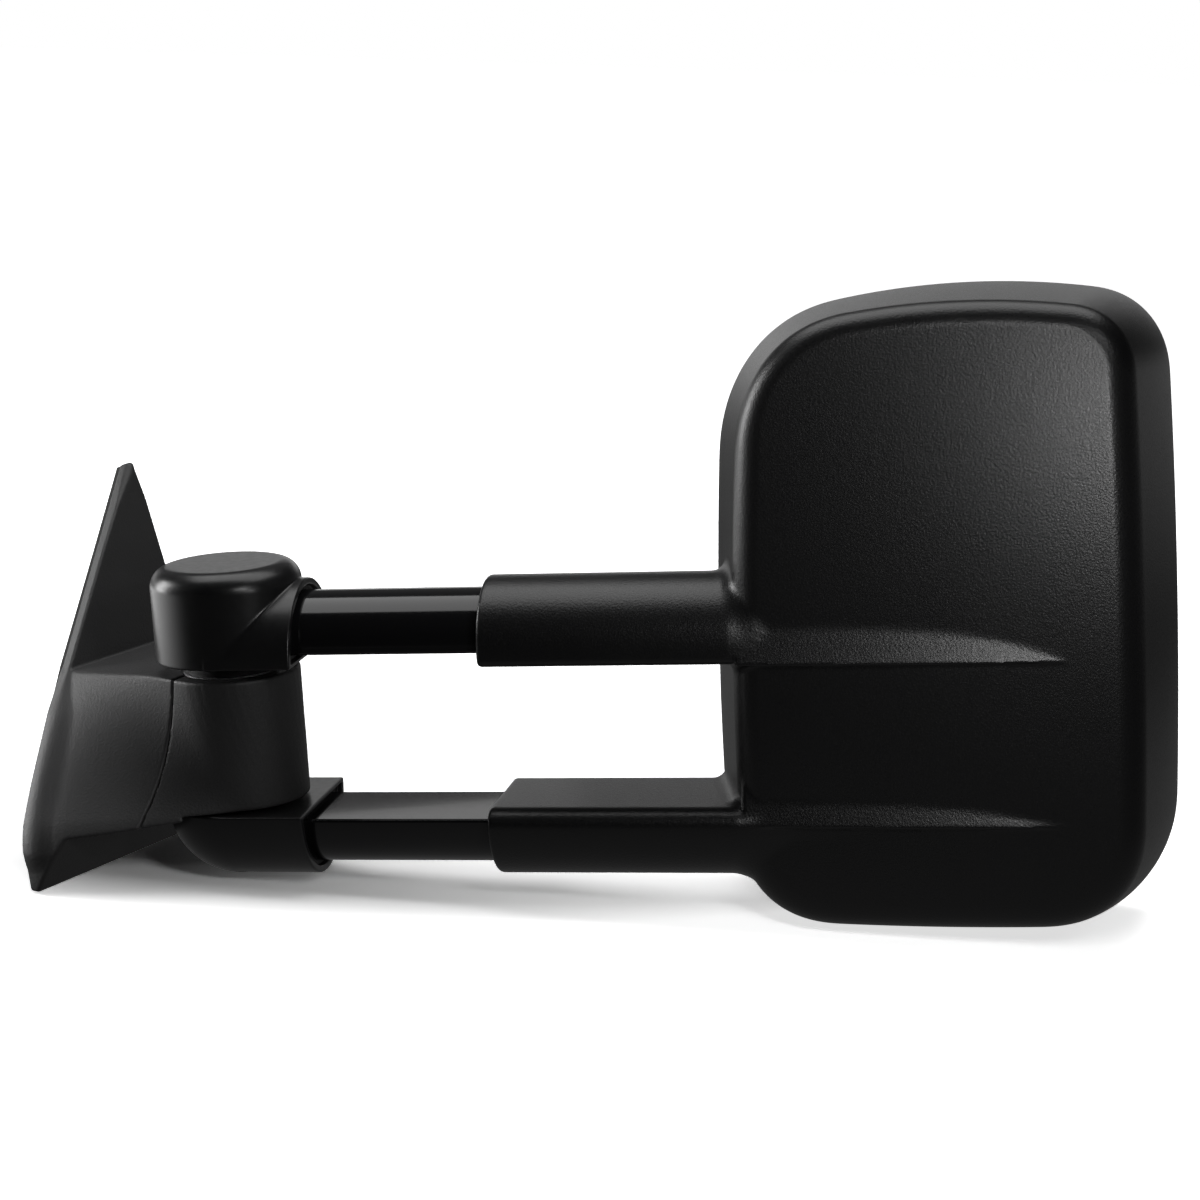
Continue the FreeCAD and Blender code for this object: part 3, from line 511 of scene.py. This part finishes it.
def clearance_below(u, v, z):
    """Space under the boss floor that the lower arm sweeps through."""
    reach = np.hypot(u, v) - 40.0
    for heading in (-30.0, 20.0, 90.0):
        a = math.radians(heading)
        along = u * math.cos(a) + v * math.sin(a)
        across = -u * math.sin(a) + v * math.cos(a)
        reach = np.minimum(reach, np.maximum(np.abs(across) - 37.5, -along))
    reach = np.minimum(reach, np.maximum(-38.0 - u, -v))
    return np.maximum(reach, z - BOSS_FLOOR)


def to_arm_frame(points):
    u, v, z = points.T
    return np.stack([u * math.cos(SWEEP) + v * math.sin(SWEEP),
                     -u * math.sin(SWEEP) + v * math.cos(SWEEP), z], axis=1)


def seam(z):
    """Where the raked seam between the two housings crosses height z."""
    return -12.0 - 0.1 * (SHELF_Z - z)


def make_base_covers():
    step = 0.9
    low = (-122.0, -80.0, -70.0)
    high = (38.0, 76.0, 116.0)
    u, v, z = np.meshgrid(*grid_axes(low, high, step), indexing="ij", sparse=True)
    u = u + 0 * v
    v = v + 0 * u
    whole = base_shape(u, v, z)
    made = []
    inner = u - seam(z) + 0.5 * SEAM_GAP
    outer = seam(z) - u + 0.5 * SEAM_GAP
    # The pivot housing dips a little towards the seam
    sunk = whole + 0.3 * np.exp(np.minimum(outer, 0.0) / 4.0)
    for name, body, half in (("sail_cover", whole, inner), ("pivot_cover", sunk, outer)):
        points, quads = skinned(round_meet(body, half, 0.3), low, step)
        made.append(mesh_object(name, to_arm_frame(points), quads))
    return made


# ---- knuckles -----------------------------------------------------------------------------------------
SOCKET_END = 38.6
SOCKET_R = 35.2
SOCKET_FLAT = 34.3
SOCKET_C = 34.4
CAP_TOP = 78.0
CAP_R = 35.0
FLOOR_Z = 44.0
BOLT_ROOM = 8.2


def socket_openings(x, y, z, side):
    """Mouth, tube seat, spring room and locking screw hole of one knuckle."""
    mouth = d_section(y, z, SOCKET_R - 3.2, TUBE_FLAT - 2.4, SOCKET_C, side, 1.0)
    mouth = np.maximum(mouth, SOCKET_END - 2.6 - x)
    seat = np.maximum(d_section(y, z, TUBE_R + 2.0, TUBE_FLAT - 2.0, TUBE_C, side), 18.0 - x)
    room = np.maximum(np.hypot(x, y) - 14.0, FLOOR_Z - side * z)
    head = np.maximum(np.hypot(x - 28.0, z - side * 46.0) - 5.2, 29.5 - y)
    return np.minimum(np.minimum(mouth, seat), np.minimum(room, head))


def upper_knuckle_shape(x, y, z):
    radial = np.hypot(x, y)
    cap = round_meet(radial - CAP_R, z - CAP_TOP, 9.5)
    section = d_section(y, z, SOCKET_R, SOCKET_FLAT, SOCKET_C, 1)
    socket = round_meet(section, between(x, -2.0, SOCKET_END), 0.8)
    body = round_meet(round_join(cap, socket, 0.7), SOCKET_FLAT - z, 0.9)
    openings = np.maximum(socket_openings(x, y, z, 1), z - 67.0)
    bolt_hole = np.maximum(radial - BOLT_ROOM, z - 50.0)
    return cut_away(body, np.minimum(openings, bolt_hole), 0.4)


def lower_knuckle_shape(x, y, z):
    radial = np.hypot(x, y)
    bowl = np.sqrt(x * x + y * y + (z + SOCKET_C) ** 2) - SOCKET_R
    section = d_section(y, z, SOCKET_R, SOCKET_FLAT, SOCKET_C, -1)
    socket = round_meet(section, between(x, -2.0, SOCKET_END), 0.8)
    body = round_meet(np.minimum(np.maximum(bowl, x), socket), z + SOCKET_FLAT, 0.9)
    return cut_away(body, np.minimum(socket_openings(x, y, z, -1), radial - BOLT_ROOM), 0.4)


def make_knuckles():
    step = 0.45
    upper = implicit_piece("upper_knuckle_cover", upper_knuckle_shape,
                           (-38, -38, 31), (42, 38, 81), step)
    lower = implicit_piece("lower_knuckle_cover", lower_knuckle_shape,
                           (-38, -38, -73), (42, 38, -31), step)
    return upper, lower


# ---- pieces drawn as a swept outline -----------------------------------------------------------------
def arc(cx, cy, radius, start, end, steps):
    turns = np.radians(np.linspace(start, end, steps))
    return [(cx + radius * math.cos(t), cy + radius * math.sin(t)) for t in turns]


def softened(before, corner, after, reach, steps=5):
    """Rounded version of one corner, with a plain point on each side to keep the flats flat."""
    before, corner, after = [np.array(p) for p in (before, corner, after)]
    back = (before - corner) / np.linalg.norm(before - corner)
    ahead = (after - corner) / np.linalg.norm(after - corner)
    curve = bezier((corner + reach * back, corner + 0.4 * reach * back, corner + 0.4 * reach * ahead,
                    corner + reach * ahead), steps)
    return [corner + 1.4 * reach * back] + list(curve) + [corner + 1.4 * reach * ahead]


def d_outline(radius, flat, centre, side, bevel):
    """Closed D outline in (y, z) with a small bevel along each edge of the flat."""
    start = math.degrees(math.asin((flat + bevel - centre) / radius))
    dome = arc(0.0, centre, radius, start, 180.0 - start, 81)
    corners = [dome[-3], dome[-1], (-radius + bevel, flat), (radius - bevel, flat), dome[0], dome[2]]
    points = dome[2:-2]
    for i in range(1, 5):
        points += [tuple(p) for p in softened(corners[i - 1], corners[i], corners[i + 1], 0.4 * bevel)]
    return [(a, side * b) for a, b in points]


def swept_tube(name, outer, inner, x0, x1, chamfer):
    """Hollow bar along X between an outer and an inner outline with the same number of points."""
    count = len(outer)
    outer = np.array(outer)
    inner = np.array(inner)
    middle = outer.mean(axis=0)

    def shrunk(ring, amount):
        out = ring - middle
        return ring - out * (amount / np.linalg.norm(out, axis=1))[:, None]

    stations = [(x0, inner), (x0, shrunk(outer, chamfer)), (x0 + chamfer, outer)]
    stations += [(x, outer) for x in np.linspace(x0 + 2 * chamfer, x1 - 2 * chamfer, 12)]
    stations += [(x1 - chamfer, outer), (x1, shrunk(outer, chamfer)), (x1, inner)]
    points = [(x, a, b) for x, ring in stations for a, b in ring]
    faces = []
    rows = len(stations)
    for i in range(rows):
        for j in range(count):
            k = (j + 1) % count
            m = (i + 1) % rows
            faces.append((i * count + j, i * count + k, m * count + k, m * count + j))
    piece = mesh_object(name, points, faces)
    piece.data.set_sharp_from_angle(angle=math.radians(35))
    return piece


def make_tube(name, side):
    outer = d_outline(TUBE_R, TUBE_FLAT, TUBE_C, side, TUBE_BEVEL)
    inner = d_outline(TUBE_R - TUBE_WALL, TUBE_FLAT + TUBE_WALL, TUBE_C, side, 0.8 * TUBE_BEVEL)
    return swept_tube(name, outer, inner, TUBE_ENDS[0], TUBE_ENDS[1], 0.5)


# ---- materials ---------------------------------------------------------------------------------------
class Shader:
    """A node material with short helpers for wiring it up."""

    def __init__(self, name):
        self.material = bpy.data.materials.new(name)
        self.material.use_nodes = True
        self.nodes = self.material.node_tree.nodes
        self.nodes.clear()
        self.out = self.nodes.new("ShaderNodeOutputMaterial")
        self.body = self.nodes.new("ShaderNodeBsdfPrincipled")
        self.link(self.body.outputs["BSDF"], self.out.inputs["Surface"])
        self.place = self.nodes.new("ShaderNodeTexCoord").outputs["Object"]

    def link(self, source, target):
        self.material.node_tree.links.new(source, target)

    def set(self, **values):
        for name, value in values.items():
            self.body.inputs[name.replace("_", " ")].default_value = value

    def noise(self, size_mm, detail=2.0, roughness=0.5, stretch=None):
        """Noise whose features are about size_mm across."""
        node = self.nodes.new("ShaderNodeTexNoise")
        node.inputs["Scale"].default_value = 1000.0 / size_mm
        node.inputs["Detail"].default_value = detail
        node.inputs["Roughness"].default_value = roughness
        source = self.place
        if stretch is not None:
            mapping = self.nodes.new("ShaderNodeMapping")
            mapping.inputs["Scale"].default_value = stretch
            self.link(self.place, mapping.inputs["Vector"])
            source = mapping.outputs["Vector"]
        self.link(source, node.inputs["Vector"])
        return node.outputs["Fac"]

    def cells(self, size_mm):
        node = self.nodes.new("ShaderNodeTexVoronoi")
        node.feature = "SMOOTH_F1"
        node.inputs["Scale"].default_value = 1000.0 / size_mm
        node.inputs["Smoothness"].default_value = 0.6
        self.link(self.place, node.inputs["Vector"])
        return node.outputs["Distance"]

    def spread(self, source, low, high, to_low, to_high):
        node = self.nodes.new("ShaderNodeMapRange")
        for key, value in (("From Min", low), ("From Max", high), ("To Min", to_low), ("To Max", to_high)):
            node.inputs[key].default_value = value
        self.link(source, node.inputs["Value"])
        return node.outputs["Result"]

    def math(self, operation, a, b):
        node = self.nodes.new("ShaderNodeMath")
        node.operation = operation
        for slot, value in enumerate((a, b)):
            if isinstance(value, (int, float)):
                node.inputs[slot].default_value = value
            else:
                self.link(value, node.inputs[slot])
        return node.outputs["Value"]

    def distance(self, source, point):
        node = self.nodes.new("ShaderNodeVectorMath")
        node.operation = "DISTANCE"
        node.inputs[1].default_value = point
        self.link(source, node.inputs[0])
        return node.outputs["Value"]

    def tint(self, source, dark, light):
        node = self.nodes.new("ShaderNodeMix")
        node.data_type = "RGBA"
        node.inputs["A"].default_value = (*dark, 1.0)
        node.inputs["B"].default_value = (*light, 1.0)
        self.link(source, node.inputs["Factor"])
        self.link(node.outputs["Result"], self.body.inputs["Base Color"])

    def edge_wear(self):
        """1 on tight convex edges, 0 elsewhere."""
        node = self.nodes.new("ShaderNodeNewGeometry")
        return self.spread(node.outputs["Pointiness"], 0.52, 0.60, 0.0, 1.0)

    def roughness(self, source):
        self.link(source, self.body.inputs["Roughness"])

    def bump(self, height, depth_mm, strength=1.0):
        node = self.nodes.new("ShaderNodeBump")
        node.inputs["Strength"].default_value = strength
        node.inputs["Distance"].default_value = depth_mm * MM
        self.link(height, node.inputs["Height"])
        self.link(node.outputs["Normal"], self.body.inputs["Normal"])


def moulded_grain(name, dark, light, rough, grain_mm, depth_mm):
    """Moulded plastic with a fine leather-like grain."""
    m = Shader(name)
    cell = m.cells(grain_mm)
    fine = m.noise(grain_mm * 0.55, 3.0, 0.6)
    height = m.math("ADD", m.math("MULTIPLY", cell, 0.7), m.math("MULTIPLY", fine, 0.6))
    broad = m.noise(38.0, 2.0)
    m.tint(m.math("ADD", m.math("MULTIPLY", broad, 0.5), m.math("MULTIPLY", fine, 0.5)), dark, light)
    worn = m.math("MULTIPLY", m.edge_wear(), -0.10)
    m.roughness(m.math("ADD", m.spread(fine, 0.3, 0.7, rough - 0.06, rough + 0.08), worn))
    m.bump(height, depth_mm)
    m.set(Specular_IOR_Level=0.5)
    return m.material


def satin_plastic(name, dark, light, rough):
    """Smoother moulded plastic with a faint orange peel and grain."""
    m = Shader(name)
    peel = m.noise(3.0, 2.0)
    fine = m.noise(0.45, 2.0)
    m.tint(m.noise(20.0, 3.0), dark, light)
    m.roughness(m.spread(peel, 0.3, 0.7, rough - 0.02, rough + 0.03))
    m.bump(m.math("ADD", m.math("MULTIPLY", peel, 0.3), m.math("MULTIPLY", fine, 0.3)), 0.012)
    return m.material


def gloss_enamel(name):
    """Gloss black paint on steel tube with the slight waviness of a dipped coat."""
    m = Shader(name)
    m.set(Base_Color=(0.006, 0.006, 0.0065, 1.0), Specular_IOR_Level=0.42)
    m.set(Coat_Weight=0.1, Coat_Roughness=0.03)
    wave = m.noise(7.0, 2.0, 0.5, (0.25, 1.0, 1.0))
    dust = m.noise(0.35, 1.0)
    m.roughness(m.spread(dust, 0.55, 0.8, 0.10, 0.22))
    m.bump(wave, 0.012)
    return m.material


def plain_plastic(name, dark, light, rough):
    m = Shader(name)
    fine = m.noise(0.9, 3.0)
    m.tint(m.noise(12.0, 2.0), dark, light)
    m.roughness(m.spread(fine, 0.3, 0.7, rough - 0.06, rough + 0.08))
    m.bump(fine, 0.02)
    return m.material


def bare_metal(name, dark, light, rough, grain_mm=0.6, depth_mm=0.02):
    m = Shader(name)
    m.set(Metallic=1.0)
    grain = m.noise(grain_mm, 3.0, 0.6)
    m.tint(m.noise(9.0, 3.0), dark, light)
    m.roughness(m.spread(grain, 0.3, 0.7, rough - 0.08, rough + 0.1))
    m.bump(grain, depth_mm)
    return m.material


def foam_rubber(name):
    m = Shader(name)
    m.tint(m.noise(4.0), (0.012, 0.012, 0.012), (0.03, 0.03, 0.03))
    m.roughness(m.spread(m.noise(1.0), 0.3, 0.7, 0.75, 0.92))
    m.bump(m.cells(0.8), 0.12)
    return m.material


def silvered_glass(name):
    """Flat mirror: a faint cool tint, a trace of haze in patches."""
    m = Shader(name)
    m.set(Metallic=1.0, Coat_Weight=1.0, Coat_Roughness=0.01)
    m.tint(m.noise(60.0), (0.83, 0.86, 0.87), (0.88, 0.90, 0.905))
    m.roughness(m.spread(m.noise(25.0, 4.0), 0.4, 0.75, 0.012, 0.03))
    m.bump(m.noise(90.0, 1.0), 0.004)
    return m.material


def make_materials():
    """Every material by the name of its slot in the record."""
    recipes = {
        "grained_black": (moulded_grain, (0.003, 0.003, 0.0033), (0.006, 0.006, 0.0064), 0.33, 1.0, 0.09),
        "base_grain": (moulded_grain, (0.024, 0.024, 0.0245), (0.042, 0.042, 0.0425), 0.52, 1.1, 0.11),
        "satin_black": (satin_plastic, (0.007, 0.007, 0.0075), (0.012, 0.012, 0.0125), 0.30),
        "gloss_black": (gloss_enamel,),
        "black_nylon": (plain_plastic, (0.006, 0.006, 0.0065), (0.012, 0.012, 0.0125), 0.6),
        "white_acetal": (plain_plastic, (0.62, 0.62, 0.58), (0.74, 0.74, 0.70), 0.35),
        "cast_alloy": (bare_metal, (0.42, 0.42, 0.43), (0.6, 0.6, 0.61), 0.5, 1.2, 0.06),
        "zinc_steel": (bare_metal, (0.50, 0.51, 0.50), (0.66, 0.66, 0.63), 0.32),
        "spring_steel": (bare_metal, (0.30, 0.30, 0.31), (0.44, 0.44, 0.45), 0.3),
        "gasket_foam": (foam_rubber,),
        "bronze": (bare_metal, (0.42, 0.28, 0.12), (0.60, 0.44, 0.22), 0.34),
        "mirror_face": (silvered_glass,),
    }
    return {name: make(name, *values) for name, (make, *values) in recipes.items()}


def paint_nodes(materials):
    """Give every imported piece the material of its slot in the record."""
    for part in frame["record"]["subparts"]:
        slots = frame["nodes"][part["node"]].data.materials
        material = materials[part["material_slot"]]
        if len(slots) == 0:
            slots.append(material)
        for i in range(len(slots)):
            slots[i] = material


# ---- camera, floor and light ------------------------------------------------------------------------
FLOOR_HALF = 6.0                          # metres
FLOOR_PALE = 1.6
# Painted shadow: the floor's glow is kept low near these two places, so a darker contact shadow shows
# around the base
SHADOW_FRONT = (-0.05, 0.55, -0.08)       # the floor glows more with distance from these two places
SHADOW_MIDDLE = (-0.06, 0.06, -0.07)
FRONT_BOUNCE = 0.03                       # what reflections see of the floor, by region
UNDER_BOUNCE = 0.14
UNDER_MIDDLE = (0.25, 0.18, -0.08)
FAR_BOUNCE = 0.22
FAR_FROM = (0.2, -1.5, -0.08)
LEFT_BOUNCE = 2.1
LEFT_MIDDLE = (-0.75, 0.2, -0.07)
REAR_GLOW = 1.05
AMBIENT = 0.006
# Floor contacts: two corners of the base's foot and the lowest point of the head, in mm
CONTACTS = ((-85.7, -41.2, -65.0), (-39.1, 86.6, -65.0), (335.0, 45.0, -97.2))


def set_floor():
    """Pale floor under the foot of the base and the bottom of the head."""
    foot, rear_foot, head = (Vector(p) * MM + FOLD_AXIS for p in CONTACTS)
    normal = (head - foot).cross(rear_foot - foot).normalized()
    if normal.z < 0:
        normal.negate()
    along = Vector((1, 0, 0)).cross(normal).normalized()
    side = along.cross(normal).normalized()
    centre = foot - 0.6 * MM * normal
    mesh = bpy.data.meshes.new("floor")
    signs = ((-1, -1), (1, -1), (1, 1), (-1, 1))
    corners = [centre + side * (a * FLOOR_HALF) + along * (b * FLOOR_HALF) for a, b in signs]
    mesh.from_pydata(corners, [], [(0, 1, 2, 3)])
    floor = bpy.data.objects.new("floor", mesh)
    bpy.context.scene.collection.objects.link(floor)
    mesh.materials.append(pale_floor())


def pale_floor():
    """White for the camera, with soft shadows, deepened near the base by painted shadow; only a trace of
    it shows in reflections.
    """
    m = Shader("pale_floor")
    m.nodes.remove(m.body)
    diffuse = m.nodes.new("ShaderNodeBsdfDiffuse")
    diffuse.inputs["Color"].default_value = (FLOOR_PALE, FLOOR_PALE, FLOOR_PALE, 1.0)
    glow = m.nodes.new("ShaderNodeEmission")
    place = m.nodes.new("ShaderNodeNewGeometry").outputs["Position"]
    # Glow rises with distance from the base; keeping it low near the base paints the contact shadow darker
    # than the lamps alone make it
    front = m.spread(m.distance(place, at(*SHADOW_FRONT)), 0.565, 0.62, 0.0, 0.7)
    away = m.distance(place, at(*SHADOW_MIDDLE))
    near = m.spread(away, 0.06, 0.42, 0.0, 0.7)
    beyond = m.spread(away, 0.45, 0.75, 0.0, 1.0)
    m.link(m.math("MAXIMUM", m.math("MAXIMUM", front, near), beyond), glow.inputs["Strength"])
    lit = m.nodes.new("ShaderNodeAddShader")
    m.link(diffuse.outputs["BSDF"], lit.inputs[0])
    m.link(glow.outputs["Emission"], lit.inputs[1])
    bounce = m.nodes.new("ShaderNodeEmission")
    under = m.spread(m.distance(place, at(*UNDER_MIDDLE)), 0.6, 0.25, FRONT_BOUNCE, UNDER_BOUNCE)
    left = m.spread(m.distance(place, at(*LEFT_MIDDLE)), 0.65, 0.3, 0.0, LEFT_BOUNCE)
    far = m.spread(m.distance(place, at(*FAR_FROM)), 2.2, 3.6, 0.0, FAR_BOUNCE)
    m.link(m.math("ADD", m.math("ADD", under, left), far), bounce.inputs["Strength"])
    path = m.nodes.new("ShaderNodeLightPath")
    pick = m.nodes.new("ShaderNodeMixShader")
    m.link(path.outputs["Is Camera Ray"], pick.inputs["Fac"])
    m.link(bounce.outputs["Emission"], pick.inputs[1])
    m.link(lit.outputs["Shader"], pick.inputs[2])
    m.link(pick.outputs["Shader"], m.out.inputs["Surface"])
    return m.material


def set_world():
    """White backdrop for the camera; reflections see a dim room with a soft glow low behind."""
    world = bpy.data.worlds.new("studio")
    world.use_nodes = True
    bpy.context.scene.world = world
    nodes = world.node_tree.nodes
    links = world.node_tree.links
    nodes.clear()

    def ramp(source, low, high, to_low, to_high, blend):
        node = nodes.new("ShaderNodeMapRange")
        node.interpolation_type = blend
        for key, value in (("From Min", low), ("From Max", high), ("To Min", to_low), ("To Max", to_high)):
            node.inputs[key].default_value = value
        links.new(source, node.inputs["Value"])
        return node.outputs["Result"]

    def product(a, b):
        node = nodes.new("ShaderNodeMath")
        node.operation = "MULTIPLY"
        links.new(a, node.inputs[0])
        links.new(b, node.inputs[1])
        return node.outputs["Value"]

    split = nodes.new("ShaderNodeSeparateXYZ")
    links.new(nodes.new("ShaderNodeTexCoord").outputs["Generated"], split.inputs["Vector"])
    behind = ramp(split.outputs["Y"], 0.1, 0.9, AMBIENT, REAR_GLOW, "SMOOTHSTEP")
    low_down = ramp(split.outputs["Z"], 0.24, 0.175, 0.08, 1.0, "SMOOTHSTEP")
    aside = ramp(split.outputs["X"], 0.06, 0.32, 1.0, 0.03, "LINEAR")
    pick = nodes.new("ShaderNodeMix")
    pick.data_type = "FLOAT"
    links.new(nodes.new("ShaderNodeLightPath").outputs["Is Camera Ray"], pick.inputs["Factor"])
    links.new(product(behind, product(low_down, aside)), pick.inputs["A"])
    pick.inputs["B"].default_value = 1.0
    shade = nodes.new("ShaderNodeBackground")
    shade.inputs["Color"].default_value = (1.0, 1.0, 1.0, 1.0)
    links.new(pick.outputs["Result"], shade.inputs["Strength"])
    out = nodes.new("ShaderNodeOutputWorld")
    links.new(shade.outputs["Background"], out.inputs["Surface"])


def softbox(name, place, target, width, height, power):
    data = bpy.data.lights.new(name, "AREA")
    data.shape = "RECTANGLE"
    data.size = width
    data.size_y = height
    data.energy = power
    light = bpy.data.objects.new(name, data)
    light.location = place
    light.rotation_mode = "QUATERNION"
    light.rotation_quaternion = (Vector(target) - Vector(place)).to_track_quat("-Z", "Y")
    light.visible_camera = False
    bpy.context.scene.collection.objects.link(light)


def set_lights():
    """Each softbox: place, aim, width and height in metres, and watts."""
    softbox("overhead", at(0.2, 0.2, 1.1), at(0.2, 0.15, 0.0), 1.5, 0.9, 10.0)
    softbox("left_side", at(-1.2, 0.15, 0.30), at(0.0, 0.0, 0.05), 0.5, 0.9, 13.0)
    softbox("panel_glow", at(0.405, -0.31, 0.112), at(0.41, -0.03, 0.13), 0.05, 0.08, 0.24)
    softbox("front_right", at(0.9, -0.9, 0.6), at(0.0, 0.0, 0.06), 0.3, 0.3, 1.1)
    softbox("rib_glow", at(0.36, -0.40, 0.25), at(0.36, -0.03, 0.04), 0.12, 0.04, 0.24)
    softbox("rear_strip", at(0.04, 0.15, 0.0135), at(0.09, -0.01, -0.0386), 0.17, 0.016, 0.005)
    bpy.context.scene.view_settings.view_transform = "Standard"


VIEW_ANGLES = (11.65, 11.57, -3.26)        # azimuth, elevation and roll in degrees
CAMERA_PLACE = (0.4302, -1.2330, 0.3151)
LENS = 85.44


def set_camera():
    azimuth, elevation, roll = [math.radians(a) for a in VIEW_ANGLES]
    forward = Vector((-math.sin(azimuth) * math.cos(elevation), math.cos(azimuth) * math.cos(elevation),
                      -math.sin(elevation)))
    right = Vector((math.cos(azimuth), math.sin(azimuth), 0.0))
    up = right.cross(forward)
    turned_right = right * math.cos(roll) + up * math.sin(roll)
    turned_up = up * math.cos(roll) - right * math.sin(roll)
    turn = Matrix((turned_right, turned_up, -forward)).transposed()
    data = bpy.data.cameras.new("camera")
    data.sensor_width = 36.0
    data.lens = LENS
    data.clip_start = 0.05
    data.clip_end = 50.0
    camera = bpy.data.objects.new("camera", data)
    camera.matrix_world = Matrix.Translation(at(*CAMERA_PLACE)) @ turn.to_4x4()
    bpy.context.scene.collection.objects.link(camera)
    bpy.context.scene.camera = camera


def add_piece(piece, node, body, material):
    """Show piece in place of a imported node, riding on its body."""
    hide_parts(node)
    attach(piece, body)
    piece.data.materials.clear()
    piece.data.materials.append(material)


def main():
    materials = make_materials()
    paint_nodes(materials)
    add_piece(make_head_shell(), "head_shell", "head", materials["grained_black"])
    add_piece(make_bezel(), "glass_bezel", "head", materials["satin_black"])
    add_piece(make_glass(), "mirror_glass", "glass", materials["mirror_face"])
    sail, pivot = make_base_covers()
    add_piece(sail, "sail_housing", "base", materials["base_grain"])
    add_piece(pivot, "pivot_housing", "base", materials["base_grain"])
    upper, lower = make_knuckles()
    add_piece(upper, "upper_knuckle", "arm_frame", materials["satin_black"])
    add_piece(lower, "lower_knuckle", "arm_frame", materials["satin_black"])
    for name, side in (("upper_arm", 1), ("lower_arm", -1)):
        add_piece(make_tube(name + "_bar", side), name + "_tube", "arm_frame", materials["gloss_black"])
    set_floor()
    set_world()
    set_lights()
    set_camera()


main()
